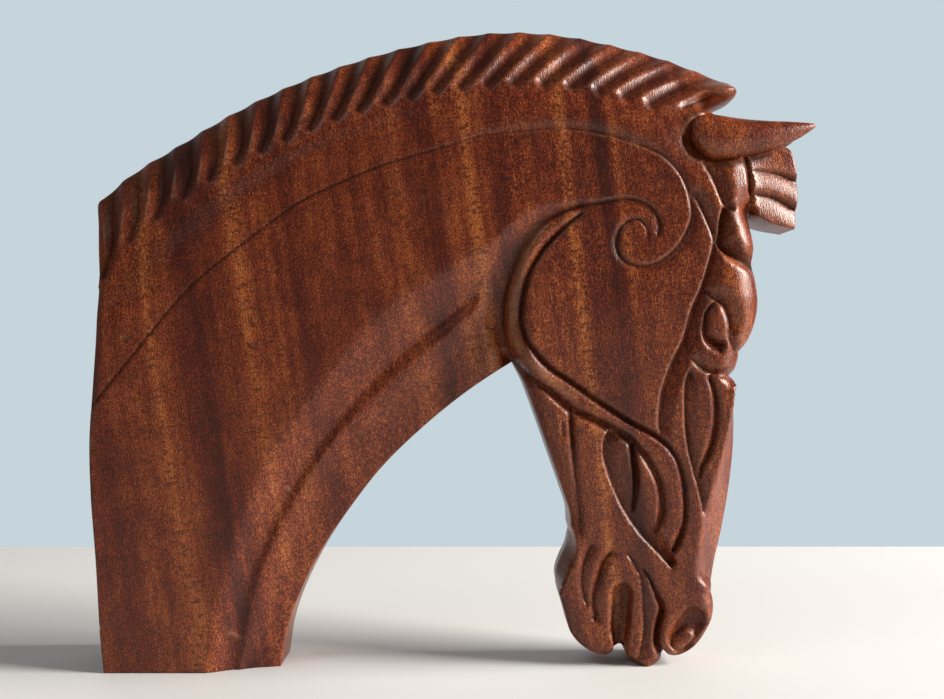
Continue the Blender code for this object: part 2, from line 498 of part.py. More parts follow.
def pattern_mesh(fine, wide):
    """Points and triangles that fill the outline and follow the carved lines."""
    loop = outline_loop(fine)
    points = [tuple(p) for p in loop]
    edges = []
    taken = np.array(loop)
    closed = np.vstack([loop, loop[:1]])
    for guide in guide_lines(fine):
        clear = inside_loop(loop, guide[:, 0], guide[:, 1])
        clear &= nearest(closed, guide[:, 0], guide[:, 1])[0] > 0.4 * fine
        previous = None
        for point, usable in zip(guide, clear):
            if usable and np.hypot(*(taken - point).T).min() < 0.3 * fine:
                usable = False
            if not usable:
                previous = None
                continue
            points.append(tuple(point))
            if previous is not None:
                edges.append((previous, len(points) - 1))
            previous = len(points) - 1
        taken = np.array(points)
    carved = taken
    low = loop.min(axis=0)
    high = loop.max(axis=0)
    for row, z in enumerate(np.arange(low[1] + 0.5 * fine, high[1], 0.866 * fine)):
        x = np.arange(low[0] + (row % 2) * 0.5 * fine, high[0], fine)
        level = np.full(x.shape, z)
        keep = inside_loop(loop, x, level)
        for px, pz in zip(x[keep], level[keep]):
            open_field = np.hypot(carved[:, 0] - px, carved[:, 1] - pz).min()
            room = min(wide, fine + 1.1 * max(0.0, open_field - fine))
            if np.hypot(taken[:, 0] - px, taken[:, 1] - pz).min() > 0.72 * room:
                points.append((px, pz))
                taken = np.vstack([taken, [px, pz]])
    rim = list(range(len(loop)))[::-1]
    result = delaunay_2d_cdt([Vector(p) for p in points], edges, [rim], 1, 1e-4)
    return np.array([tuple(v) for v in result[0]]), [tuple(f) for f in result[2]]


# Ear: sections along its length, as place, low edge and high edge in the pattern, and thickness share
EAR_SECTIONS = [(108.2, 248, 254, 0.3), (109.5, 244, 258, 0.75), (112, 241, 259.3, 0.92),
                (115.5, 237.8, 259.2, 1.0), (120.4, 236, 258.2, 1.0), (129, 237.3, 256.9, 1.0),
                (136.2, 238.8, 256.1, 0.93),
                (145.5, 241.1, 255.5, 0.8), (153.5, 244.5, 255.3, 0.6), (159.5, 247.4, 255, 0.42),
                (165, 251, 254.6, 0.2)]
EAR_TIP = (168.0, 254.0)
EAR_SIDES = 14
EAR_REACH = EAR_TIP[0] - EAR_SECTIONS[0][0]

# The row's origin is under the middle of the length
MIDDLE = (CREST[0][0] + EAR_TIP[0]) / 2


def counterclockwise(verts, face):
    a, b, c = (verts[i] for i in face)
    area = (b[0] - a[0]) * (c[1] - a[1]) - (c[0] - a[0]) * (b[1] - a[1])
    return face if area > 0 else face[::-1]


def carved_plank(name):
    """Both carved sides and the edge between them, as one closed mesh."""
    verts, faces = pattern_mesh(FINE_FACET / SHARE, WIDE_FACET / SHARE)
    faces = [counterclockwise(verts, f) for f in faces]
    half = half_thickness(verts[:, 0], verts[:, 1])
    count = len(verts)
    near = [((v[0] - MIDDLE) * SHARE, -h, v[1] * SHARE) for v, h in zip(verts, half)]
    far = [(x, -y, z) for x, y, z in near]
    polygons = list(faces) + [tuple(i + count for i in f[::-1]) for f in faces]
    directed = {}
    for f in faces:
        for k in range(3):
            directed[(f[k], f[(k + 1) % 3])] = True
    for i, j in directed:
        if (j, i) not in directed:
            polygons.append((j, i, i + count, j + count))
    mesh = bpy.data.meshes.new(name)
    mesh.from_pydata(near + far, [], polygons)
    mesh.validate()
    obj = bpy.data.objects.new(name, mesh)
    bpy.context.collection.objects.link(obj)
    return obj


def ear(name, way):
    """One ear, a pointed leaf lying forward, its outer face level with the side of the plank."""
    points = []
    for x, low, high, share in EAR_SECTIONS:
        middle = (low + high) / 2
        reach = (high - low) / 2
        depth = share * EAR_THICKNESS / 2
        centre = HALF - EAR_THICKNESS / 2 - EAR_INSET - EAR_TILT * (x - EAR_SECTIONS[0][0]) / EAR_REACH
        for k in range(EAR_SIDES):
            turn = 2 * np.pi * k / EAR_SIDES
            points.append(((x - MIDDLE) * SHARE, way * (centre + depth * np.cos(turn)),
                           (middle + reach * np.sin(turn)) * SHARE))
    rings = len(EAR_SECTIONS)
    faces = [tuple(range(EAR_SIDES))]
    for i in range(rings - 1):
        for k in range(EAR_SIDES):
            a = i * EAR_SIDES + k
            b = i * EAR_SIDES + (k + 1) % EAR_SIDES
            faces.append((a, a + EAR_SIDES, b + EAR_SIDES, b))
    tip = len(points)
    points.append(((EAR_TIP[0] - MIDDLE) * SHARE, way * (HALF - EAR_THICKNESS / 2 - EAR_TILT),
                   EAR_TIP[1] * SHARE))
    last = (rings - 1) * EAR_SIDES
    for k in range(EAR_SIDES):
        faces.append((last + k, tip, last + (k + 1) % EAR_SIDES))
    if way > 0:
        faces = [f[::-1] for f in faces]
    mesh = bpy.data.meshes.new(name)
    mesh.from_pydata(points, [], faces)
    mesh.validate()
    obj = bpy.data.objects.new(name, mesh)
    bpy.context.collection.objects.link(obj)
    return obj


def wood(name, colour, roughness):
    material = bpy.data.materials.new(name)
    material.use_nodes = True
    shader = material.node_tree.nodes["Principled BSDF"]
    shader.inputs["Base Color"].default_value = (*colour, 1.0)
    shader.inputs["Roughness"].default_value = roughness
    return material


for old in list(bpy.data.objects):
    bpy.data.objects.remove(old, do_unlink=True)

head = carved_plank("horse_head")
head.data.materials.append(wood("mahogany", (0.18, 0.05, 0.022), 0.42))
for ear_name, way in (("near_ear", -1.0), ("far_ear", 1.0)):
    one_ear = ear(ear_name, way)
    one_ear.hide_render = True
    one_ear.display_type = "WIRE"
    join = head.modifiers.new(ear_name, "BOOLEAN")
    join.operation = "UNION"
    join.solver = "EXACT"
    join.object = one_ear
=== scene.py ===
"""Horse head and arched neck, carved from one plank of mahogany and waxed."""
import bmesh
import bpy
import numpy as np
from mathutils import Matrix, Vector, kdtree
from mathutils.geometry import delaunay_2d_cdt


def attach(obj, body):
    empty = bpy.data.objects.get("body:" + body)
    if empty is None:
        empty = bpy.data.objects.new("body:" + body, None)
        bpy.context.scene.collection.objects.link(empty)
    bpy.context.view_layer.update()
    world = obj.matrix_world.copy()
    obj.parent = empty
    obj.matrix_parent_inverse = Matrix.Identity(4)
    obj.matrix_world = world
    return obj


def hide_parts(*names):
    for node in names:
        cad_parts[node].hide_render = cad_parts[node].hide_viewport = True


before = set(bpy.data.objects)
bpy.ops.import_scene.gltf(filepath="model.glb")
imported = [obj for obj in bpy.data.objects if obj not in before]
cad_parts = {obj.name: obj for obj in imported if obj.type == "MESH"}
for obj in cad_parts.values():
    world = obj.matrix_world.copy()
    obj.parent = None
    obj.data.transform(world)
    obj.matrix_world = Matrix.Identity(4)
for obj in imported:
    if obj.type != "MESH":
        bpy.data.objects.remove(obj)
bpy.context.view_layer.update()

# The plank, sawn to the outline of the head.
# It is one board of mahogany 60 mm thick, with the grain upright, cut round a paper pattern in millimetres.
# x runs along the head and z upwards, and the runs below go clockwise between its corners.
HEIGHT = 0.300
PLANK = 0.060
HALF = PLANK / 2
SHARE = HEIGHT / 300.0
FACET = 1.05

BACK = [(-162.7, 0), (-164.3, 15), (-166.5, 52), (-169, 82), (-170, 107), (-168.9, 129), (-167, 160),
        (-166.8, 190), (-168.7, 207), (-172, 218)]
CREST = [(-172, 218), (-155.5, 232), (-132, 246.5), (-109.5, 260), (-81, 274), (-52, 285),
         (-23.5, 293), (5, 298.5), (28, 300), (50, 298.5), (73.5, 294), (96, 288), (115, 281), (131, 274)]
MANE_TIP = [(131, 274), (132.8, 271), (130.6, 267.8), (123.2, 264.2), (117, 262)]
POLL = [(117, 262), (125, 257.5), (138, 252.5), (150, 248), (156.5, 244)]
FORELOCK_END = [(156.5, 244), (159, 235.5), (160, 225.5), (159.5, 214.5), (158.5, 205.5)]
FORELOCK_UNDER = [(158.5, 205.5), (147, 208), (137, 212.5)]
FOREHEAD = [(137, 212.5), (138, 205), (139.5, 196.5), (138.5, 190)]
BROW = [(138.5, 190), (140.5, 180), (141.5, 170.5), (140, 161), (136.5, 152.5), (132.5, 147.5)]
LID = [(132.5, 147.5), (131.5, 143), (130, 139), (128, 136.5)]
NOSE = [(128, 136.5), (131, 125), (131.8, 110.5), (130, 87.5), (126.2, 64.5), (122.4, 47.5), (120.6, 37),
        (119.8, 34.2)]
NOSTRIL = [(119.8, 34.2), (120.6, 28.5), (119.8, 22), (116.4, 15), (111.4, 8.6), (104.8, 4.8), (100, 4.6),
           (97, 7)]
UPPER_LIP = [(97, 7), (95.5, 3), (92.5, 0)]
LIP_REST = [(92.5, 0), (86, 0)]
LIP_BACK = [(86, 0), (82.5, 2.3), (79.8, 4.8), (78.6, 8)]
MOUTH = [(78.6, 8), (76.4, 9.5), (74, 8)]
LOWER_LIP = [(74, 8), (71.3, 5.3), (66, 5.2), (58.6, 9.2), (53.2, 15.5), (50.8, 23.5), (48.5, 31)]
CHIN = [(48.5, 31), (47, 37.5), (46.5, 43), (48.5, 49.5), (51.5, 56), (53, 63)]
JAW = [(53, 63), (52.5, 72), (49, 83), (43, 100), (37, 117), (30.5, 134), (25.5, 143.5)]
THROAT = [(25.5, 143), (18.8, 139), (2, 127.5), (-18, 111), (-35.4, 94), (-48.9, 77),
          (-60.4, 60.6), (-69, 45.7), (-76.5, 29.3), (-80.6, 16.3), (-83.2, 0)]
UNDERSIDE = [(-83.2, 0), (-162.7, 0)]
OUTLINE = [BACK, CREST, MANE_TIP, POLL, FORELOCK_END, FORELOCK_UNDER, FOREHEAD, BROW, LID, NOSE, NOSTRIL,
           UPPER_LIP, LIP_REST, LIP_BACK, MOUTH, LOWER_LIP, CHIN, JAW, THROAT, UNDERSIDE]
EAR_TIP = (168.0, 254.0)
MIDDLE = (CREST[0][0] + EAR_TIP[0]) / 2


def drawn_line(points, spacing):
    """A smooth line through the points, evenly spaced, and where each of its points lies between them."""
    pts = np.array(points, dtype=float)
    pts = np.vstack([2 * pts[0] - pts[1], pts, 2 * pts[-1] - pts[-2]])
    knots = np.concatenate([[0.0], np.cumsum(np.linalg.norm(np.diff(pts, axis=0), axis=1) ** 0.5)])
    curve = []
    place = []
    for i in range(1, len(pts) - 2):
        span = np.linalg.norm(pts[i + 1] - pts[i])
        steps = max(2, int(np.ceil(span / (spacing * 0.25))))
        p0, p1, p2, p3 = pts[i - 1:i + 3]
        k0, k1, k2, k3 = knots[i - 1:i + 3]
        k = (k1 + (k2 - k1) * np.arange(steps) / steps)[:, None]
        a1 = p0 * (k1 - k) / (k1 - k0) + p1 * (k - k0) / (k1 - k0)
        a2 = p1 * (k2 - k) / (k2 - k1) + p2 * (k - k1) / (k2 - k1)
        a3 = p2 * (k3 - k) / (k3 - k2) + p3 * (k - k2) / (k3 - k2)
        b1 = a1 * (k2 - k) / (k2 - k0) + a2 * (k - k0) / (k2 - k0)
        b2 = a2 * (k3 - k) / (k3 - k1) + a3 * (k - k1) / (k3 - k1)
        curve.append(b1 * (k2 - k) / (k2 - k1) + b2 * (k - k1) / (k2 - k1))
        place.append(i - 1 + np.arange(steps) / steps)
    curve = np.vstack(curve + [pts[-2:-1]])
    place = np.concatenate(place + [[len(pts) - 3]])
    run = np.concatenate([[0.0], np.cumsum(np.linalg.norm(np.diff(curve, axis=0), axis=1))])
    count = max(2, int(round(run[-1] / spacing)) + 1)
    even = np.linspace(0.0, run[-1], count)
    line = np.stack([np.interp(even, run, curve[:, k]) for k in range(2)], axis=1)
    return line, np.interp(even, run, place)


def nearest(line, x, z):
    """Distance to a line, the side of it (positive to the left of its run) and the place along it."""
    best = np.full(x.shape, 1e9)
    side = np.ones(x.shape)
    place = np.zeros(x.shape)
    for i in range(len(line) - 1):
        ax, az = line[i]
        dx, dz = line[i + 1] - line[i]
        t = np.clip(((x - ax) * dx + (z - az) * dz) / max(dx * dx + dz * dz, 1e-12), 0.0, 1.0)
        ex = x - ax - t * dx
        ez = z - az - t * dz
        dist = ex * ex + ez * ez
        closer = dist < best - 1e-9
        best[closer] = dist[closer]
        side[closer] = np.where(dx * ez - dz * ex >= 0.0, 1.0, -1.0)[closer]
        place[closer] = (i + t)[closer]
    return np.sqrt(best), side, place


def inside_pattern(loop, x, z):
    """True for points inside the closed loop."""
    inside = np.zeros(x.shape, dtype=bool)
    for (ax, az), (bx, bz) in zip(loop, np.roll(loop, -1, axis=0)):
        if az != bz:
            crosses = (az > z) != (bz > z)
            inside ^= crosses & (x < (bx - ax) * (z - az) / (bz - az) + ax)
    return inside


pattern_loop = np.vstack([drawn_line(run, FACET)[0][:-1] for run in OUTLINE])
closed_loop = np.vstack([pattern_loop, pattern_loop[:1]])


# The board planed to shape.
# The plane takes it down towards the crest, the throat and the muzzle, and bevels the bridge of the nose and
# the chin. Lines are where each slope starts, and thicknesses are what is left at the outline.
CREST_THICKNESS = 0.018
THROAT_THICKNESS = 0.034
MUZZLE_THICKNESS = 0.038
NOSE_THICKNESS = 0.011
CHIN_THICKNESS = 0.012
HEAD_DROP = 0.001
HEAD_BEGINS = (20.0, 46.0)
HEAD_DROPS = (10.0, 60.0)
NECK_ENDS = (18.0, 34.0)
TAPER_TOP = 172.0
TAPER_LENGTH = 150.0
TAPER_CURVE = 1.3
CREST_STRAIGHT = 0.35
CREST_CURVE = 2.2
NOSTRIL_FADE = 5.0

MANE_FOOT = [(-172, 170), (-163.5, 181), (-157, 188.5), (-151.5, 197.5), (-142, 205.5), (-123.5, 219),
             (-103, 232), (-82, 242.5), (-63.5, 251), (-29, 262), (-3.5, 267), (22, 269.3),
             (42.5, 268.5), (61, 266.5), (79, 262.5), (87, 260), (98.5, 256), (108, 256), (116, 260),
             (134, 266.5)]
FLUTE_EDGE = [(-116, -3), (-113, 20), (-109, 38.5), (-103.5, 59), (-98.5, 73), (-90, 94), (-79.5, 109),
              (-70, 122), (-58.5, 136), (-49.5, 149), (-36.5, 163.5), (-24, 174), (-8, 183.5), (9.5, 195),
              (22, 201), (40, 211)]
BRIDGE_EDGE = [(129, 132), (127.5, 121.5), (125, 108.5), (121.7, 95.3), (118.4, 83.7), (114.6, 71),
               (113, 61), (111.8, 52), (111.4, 45), (111.6, 38), (112, 28)]
NOSTRIL_TOP = [(107.5, 43), (111.8, 40), (115, 37.6), (118, 34.8), (121.5, 31)]
CHIN_EDGE = [(53.3, 66), (55.6, 60.3), (55.2, 51), (52, 44.5), (49.5, 38.5), (48, 34)]


def eased(value, low, high):
    """0 below low, 1 above high, and a smooth turn between."""
    t = np.clip((value - low) / (high - low), 0.0, 1.0)
    return t * t * (3.0 - 2.0 * t)


def slope(start, rim, x, z, outward, run_out=None):
    """0 up to the line where a slope starts, rising to 1 on the rim; run_out fades it at the two ends."""
    spacing = 1.0
    start_line = drawn_line(start, spacing)[0]
    near, side, place = nearest(start_line, x, z)
    far = nearest(drawn_line(rim, spacing)[0], x, z)[0]
    share = np.where(side == outward, near / np.maximum(near + far, 1e-6), 0.0)
    if run_out:
        share = share * eased(place * spacing, 0.0, run_out[0])
        share = share * eased((len(start_line) - 1 - place) * spacing, 0.0, run_out[1])
    return share


def planed(x, z):
    """Half thickness of the board once it is planed."""
    head = eased(x, *HEAD_BEGINS)
    down = np.clip((TAPER_TOP - z) / TAPER_LENGTH, 0.0, 1.0)
    body = HALF - (HALF - MUZZLE_THICKNESS / 2) * head * down ** TAPER_CURVE
    body = body - HEAD_DROP * eased(x, *HEAD_DROPS)
    mane = slope(MANE_FOOT, CREST + MANE_TIP[1:], x, z, 1.0)
    mane = CREST_STRAIGHT * mane + (1.0 - CREST_STRAIGHT) * mane ** CREST_CURVE
    body = body - (HALF - CREST_THICKNESS / 2) * mane
    neck = 1.0 - eased(x, *NECK_ENDS)
    body = body - neck * (HALF - THROAT_THICKNESS / 2) * slope(FLUTE_EDGE, THROAT, x, z, -1.0)
    away, side, _ = nearest(drawn_line(NOSTRIL_TOP, 1.0)[0], x, z)
    bridge = slope(BRIDGE_EDGE, NOSE, x, z, 1.0, (3.0, 0.5)) * eased(away * side, 0.0, NOSTRIL_FADE)
    body = body - np.maximum(body - NOSE_THICKNESS / 2, 0.0) * bridge
    chin = slope(CHIN_EDGE, CHIN, x, z, -1.0, (3.0, 2.0))
    return body - np.maximum(body - CHIN_THICKNESS / 2, 0.0) * chin


# The gouge cuts.
# Every cut follows a drawn line, with its own width to either side in pattern millimetres and its own depth
# in metres. Dark wax and painted shade lie at its bottom and to its sides, and edges that a hand meets are
# rubbed pale. A painted highlight lies along the crown of the cheek strap.
FLANKS = {
    "round": lambda u: (1.0 - u) ** 2,
    "cove": lambda u: 1.0 - u * u,
    "vee": lambda u: 1.0 - u,
    "soft": lambda u: (1.0 - u * u) ** 2,
    "bull": lambda u: 1.0 - np.sqrt(np.clip(1.0 - (1.0 - u) ** 2, 0.0, 1.0)),
    "pocket": lambda u: 1.0 - u ** 6,
    "dish": lambda u: 1.0 - u ** 4,
    "apron": lambda u: (1.0 - 0.6 * u) * (1.0 - u ** 12),
}
cuts = []
rim_cuts = []
left_standing = []
rubbed_and_highlit = []


def gouge(points, left, right, depth, flank="round", ends=(6.0, 6.0), into=cuts, wax=0.0,
          wax_width=(1.1, 1.1)):
    """Adds one cut along a line, to the list named by into.

    flank is the shape from the line outwards, or one for each side, and ends are the lengths over which the
    cut runs out. The wax share is the share of dark wax and painted shade laid at its bottom, and the wax
    width how far it reaches to each side. In left_standing depth is the wood left, and in the rubbed list
    it is the share of wear and of painted highlight.
    """
    count = len(points)
    into.append({
        "points": points,
        "line": drawn_line(points, 1.5),
        "left": np.broadcast_to(np.array(left, dtype=float), (count,)),
        "right": np.broadcast_to(np.array(right, dtype=float), (count,)),
        "depth": np.broadcast_to(np.array(depth, dtype=float), (count,)),
        "flanks": (flank, flank) if isinstance(flank, str) else flank,
        "ends": ends,
        "wax": np.broadcast_to(np.array(wax, dtype=float), (count,)),
        "wax_width": wax_width,
    })


def taken_off(one, x, z):
    """Depth that one cut takes off at each point, in metres."""
    line, knots = one["line"]
    reach = max(one["left"].max(), one["right"].max())
    low = line.min(axis=0) - reach
    high = line.max(axis=0) + reach
    close = (x > low[0]) & (x < high[0]) & (z > low[1]) & (z < high[1])
    taken = np.zeros(x.shape)
    if not close.any():
        return taken
    dist, side, place = nearest(line, x[close], z[close])
    knot = np.interp(place, np.arange(len(line)), knots)
    steps = np.arange(len(one["points"]))
    left, right, depth = (np.interp(knot, steps, one[k]) for k in ("left", "right", "depth"))
    spacing = np.linalg.norm(line[1] - line[0])
    start, stop = one["ends"]
    if start > 0.0:
        depth = depth * eased(place * spacing, 0.0, start)
    if stop > 0.0:
        depth = depth * eased((len(line) - 1 - place) * spacing, 0.0, stop)
    left_cut = FLANKS[one["flanks"][0]](np.clip(dist / np.maximum(left, 1e-6), 0.0, 1.0))
    right_cut = FLANKS[one["flanks"][1]](np.clip(dist / np.maximum(right, 1e-6), 0.0, 1.0))
    taken[close] = depth * np.where(side > 0.0, left_cut, right_cut)
    return taken


def round_over(points, width, depth, flank="round"):
    """Rounds the rim along a run of the outline, from width inside it to depth taken off at the edge."""
    gouge(points, width, width, depth, flank, (0.0, 0.0), rim_cuts)


# The neck.
# Below the mane it is left flat, with a broad hollow under the mane, a fine line that runs up over the cheek
# into a curl, and two long soft flutes along the throat.
ARC_DEPTH = 0.0013
FLUTE_DEPTH = 0.0023
FOOT_DEPTH = 0.0038
BACK_ROUND = 0.0035
JAW_ROUND = 0.012

GREAT_ARC = [(-171, 119), (-153, 141.5), (-123, 177.5), (-107, 191), (-90, 204), (-72.5, 216.5), (-54, 225.5),
             (-35.5, 233), (-8, 241.5), (10.5, 246.8), (29, 249.2), (47, 250.8), (65.5, 248.6), (81.5, 244),
             (95.4, 237.6), (103.7, 228), (107.9, 213.2), (106.9, 206.3), (100, 194.8), (90.8, 188.4),
             (82, 187.7), (75.2, 192.5), (73.8, 199), (76.5, 206), (82.6, 209), (87.5, 204.5), (87.3, 198)]
RIBBON_EDGE = [(41, 208.5), (50, 213.2), (58, 215.5), (68, 216.9), (77, 218.3), (84, 217.3), (89, 214.5),
               (92.5, 210), (93.5, 204.5), (91.5, 200)]
FLUTE_FLOOR = [(-104.5, -3), (-103, 14), (-99, 34), (-93, 53), (-85, 71.5), (-75.5, 88.5), (-65, 104.5),
               (-52.5, 120.5), (-38.5, 136), (-22.5, 150.5), (-6, 163.5), (6, 173.5), (15, 182), (23, 190)]
LOWER_FLUTE = [(-97, -3), (-90.4, 14.7), (-84, 33), (-76.5, 51.7), (-69, 70), (-60, 88.7), (-43, 107),
               (-21, 125.7), (-8, 139), (4.8, 153.5), (12, 164)]

# Dark wax along the left part of the fine line and along the ribbon's edge is painted shade, where their
# walls turn from the window.
gouge(GREAT_ARC, [1.0] * 8 + [2, 4, 6, 7, 8, 8, 8, 7, 6, 5, 5, 5, 4.5, 4.5, 4, 3, 2.5, 2, 2], 1.0,
      [ARC_DEPTH * k for k in [0.25] * 8 + [0.4, 0.6, 0.8, 1, 1.2, 1.3, 1.3, 1.2, 1.2, 1.2, 1.2, 1.2,
                                            1.3, 1.4, 1.4, 1.2, 1, 0.8, 0.6]], "round", (6, 3),
      wax=[1.0] * 8 + [0.6, 0.3, 0.1] + [0.0] * 16)
gouge(RIBBON_EDGE, 1.3, [4, 5, 6, 7, 8, 8, 7, 6, 5, 3],
      [ARC_DEPTH * k for k in (1.8, 2, 1.8, 1.5, 1.2, 1.1, 1.1, 1.1, 1.1, 0.8)], "round", (4, 3), wax=0.9)
gouge(FLUTE_FLOOR, [9, 9, 10, 11, 13, 15, 16, 17, 18, 18, 17, 15, 12, 8], [5] * 4 + [6] * 4 + [7] * 6,
      [FLUTE_DEPTH * k for k in (0.8, 0.8, 0.8, 0.9, 1, 1, 1, 1, 1.1, 1.2, 1.3, 1.3, 1.2, 1)],
      "soft", (0, 28))
gouge(LOWER_FLUTE, [7, 7, 8, 9, 9, 9, 9, 9, 9, 8, 7], [16, 17, 20, 22, 25, 25, 25, 24, 20, 15, 10],
      [FLUTE_DEPTH * 0.8] * 11, "soft", (0, 10))
gouge(MANE_FOOT[1:-2], 8.0, [20, 24, 24, 22, 20, 16, 13, 12, 11, 10, 10, 10, 10, 10, 10, 10, 6],
      [FOOT_DEPTH * k for k in (0.8, 0.95, 1, 0.95, 0.8, 0.65, 0.5)] + [FOOT_DEPTH * 0.42] * 10,
      "soft", (0, 5))
round_over(BACK, [0.1, 0.1, 0.1, 0.5, 1.5, 3, 3.5, 3.5, 3, 2],
           [BACK_ROUND * k for k in (0, 0, 0, 0.3, 0.7, 1, 1, 1, 1, 0.7)], "vee")
round_over(JAW, [3, 7, 8, 8, 9, 9, 9], [JAW_ROUND * k for k in (0.25, 0.4, 0.5, 0.6, 0.65, 0.85, 1)])


# The mane.
# It is a row of upright locks, parted by gouge cuts that lean forward more and more towards the ears,
# and each lock ends in a rounded foot that stands proud of the neck.
VALLEYS = 22
LOCK_DEPTH = 0.0036
FIRST_LEAN = 1.0
LEAN_GAIN = 86.0
UPRIGHT_SHARE = 0.24
BACK_BOW = 4.6
BOW_CHANGE = 6.2


def lock_valleys():
    """The cuts between the locks, from the crest down to the foot of the mane."""
    crest = drawn_line(CREST, 0.5)[0]
    foot = drawn_line(MANE_FOOT, 0.5)[0]
    valleys = []
    for i in range(VALLEYS):
        share = (i + 1) / (VALLEYS + 0.4) - 0.012
        top = crest[int(round((len(crest) - 1) * share))]
        lean = np.radians(FIRST_LEAN + LEAN_GAIN * max(0.0, share - UPRIGHT_SHARE))
        down = np.array([-np.sin(lean), -np.cos(lean)])
        across = np.array([np.cos(lean), -np.sin(lean)])
        rays = foot - top
        end = foot[int(np.argmin(np.where(rays @ down > 4.0, np.abs(rays @ across), 1e9)))]
        middle = top + 0.6 * (end - top) + (BACK_BOW - BOW_CHANGE * share) * across
        start = top + 1.5 * (top - middle) / np.linalg.norm(top - middle)
        valleys.append([tuple(start), tuple(middle), tuple(end)])
    return valleys


valleys = lock_valleys()
# The wax in each valley between the locks is painted shade.
for valley in valleys:
    gouge(valley, 6.5, 8.0, [LOCK_DEPTH * k for k in (0.75, 1, 0.9)], "soft", (0, 4), wax=(0.6, 1, 1),
          wax_width=(3.6, 3.6))

LAST_LOCK = [(124, 269), (118.5, 267), (112, 264.5), (107, 262), (102.5, 260)]
# The wax in the cut before the mane's tip is painted shade.
gouge(LAST_LOCK, 3.0, 5.0, LOCK_DEPTH * 0.6, "round", (10, 3), wax=1.0)
round_over(MANE_TIP, 3.0, LOCK_DEPTH * 0.55)


# The cheek.
# A flat round panel, framed by a raised strap that springs from the throat, turns round the jaw
# and runs on down the muzzle.
STRAP_DEPTH = 0.0042
HOLLOW_DEPTH = 0.0050
GROOVE_DEPTH = 0.0030

STRAP_INNER = [(59, 213), (49.5, 205.5), (39.5, 195), (33, 183.5), (30, 171), (29.3, 162.5), (31.5, 154.5),
               (36.5, 147), (42.8, 140.5), (52.5, 134), (65.4, 124.8), (79, 116), (93.7, 107.7), (98.6, 103),
               (102.3, 97.3), (105, 88), (106, 79), (106.2, 72), (105.4, 66.5), (103, 59), (99.8, 53)]
STRAP_OUTER = [(61.5, 215.5), (50, 212.5), (40.3, 207.5), (33.4, 199.5), (26.5, 186.5), (22.5, 175),
               (21.4, 163), (22.6, 153), (25.5, 145.5), (33.4, 137), (42.8, 130.4), (53.4, 122),
               (63.6, 117.4), (76.5, 110.5), (82.6, 105.8), (89.3, 97.8), (94.9, 86.2), (96.3, 76),
               (95.3, 69.5), (91.6, 61)]
STRAP_CROWN = [(44, 208.5), (36.5, 202.5), (30.5, 191), (26.5, 177), (25.4, 164), (27, 154), (31, 146),
               (38, 138.7), (48, 131), (59, 123.5)]

# The wax along the strap's two edges is painted shade: a dark line where the cheek's steep edge turns from
# the window, and the shadow that the strap casts into the hollow beside it.
gouge(STRAP_INNER, 2.0, [2.5, 3.5, 4] + [4.8] * 10 + [4] * 7 + [3],
      [STRAP_DEPTH * 0.4, STRAP_DEPTH * 0.8] + [STRAP_DEPTH] * 11 + [GROOVE_DEPTH] * 6
      + [GROOVE_DEPTH * 1.7] * 2, ("round", "bull"), (3, 2), wax=0.9, wax_width=(1.8, 1.0))
gouge(STRAP_OUTER, [2, 2.5, 3, 3.5, 3.5, 3.5, 3.5, 3.5, 3.5, 3.5, 3, 3, 3, 3, 3, 3, 3, 3, 3, 2.5],
      [3, 5, 8, 12, 16, 17, 14, 9, 5, 4, 4, 4.5, 5, 5, 4.5, 4, 4, 4, 4, 3],
      [HOLLOW_DEPTH * k for k in (0.25, 0.45, 0.7)] + [HOLLOW_DEPTH] * 4 + [HOLLOW_DEPTH * 0.9]
      + [GROOVE_DEPTH * 0.8] * 2 + [GROOVE_DEPTH * 1.2] * 5 + [GROOVE_DEPTH] * 5, ("bull", "soft"), (5, 3),
      wax=0.8, wax_width=(0.9, 3.0))
# A painted highlight lies along the strap's crown, laid on with the rubbed lines.
gouge(STRAP_CROWN, 3.4, 3.4, 1.0, "soft", (8, 10), rubbed_and_highlit)


# The forehead and eye.
# Rounded lobes overlap down the front of the face, and the eye lies between the brow and a folded lid.
FACE_DEPTH = 0.0040

CHEEK_FRONT = [(106, 225), (110.4, 218), (114.6, 209.5), (118.3, 199.5), (117.8, 195), (113.2, 179),
               (108, 166.5), (104.4, 153.5), (99, 142), (94.5, 128), (93.5, 114), (94, 107.5)]
POLL_LINE = [(113.5, 235), (116.8, 230.3), (119.6, 224.2), (122.3, 217.3), (124.3, 214.5), (129, 213.5)]
LOBE_EDGE = [(123, 215), (121.4, 209), (120.9, 202), (120.5, 197.3), (123, 194.5), (128.7, 191), (138, 186.5)]
BROW_INNER = [(112.5, 178), (117.7, 172.5), (122.7, 169.7), (125, 165), (126, 160.5), (125.7, 154.5),
              (129.7, 147.5)]
EYE_LEFT = [(119, 171), (115.3, 166.5), (114.3, 160.5), (114.8, 155.8), (118.5, 152.6), (124.5, 150.5)]
LID_OUTER = [(104.8, 151), (107, 146.5), (112, 141.3), (119, 138), (127, 137)]

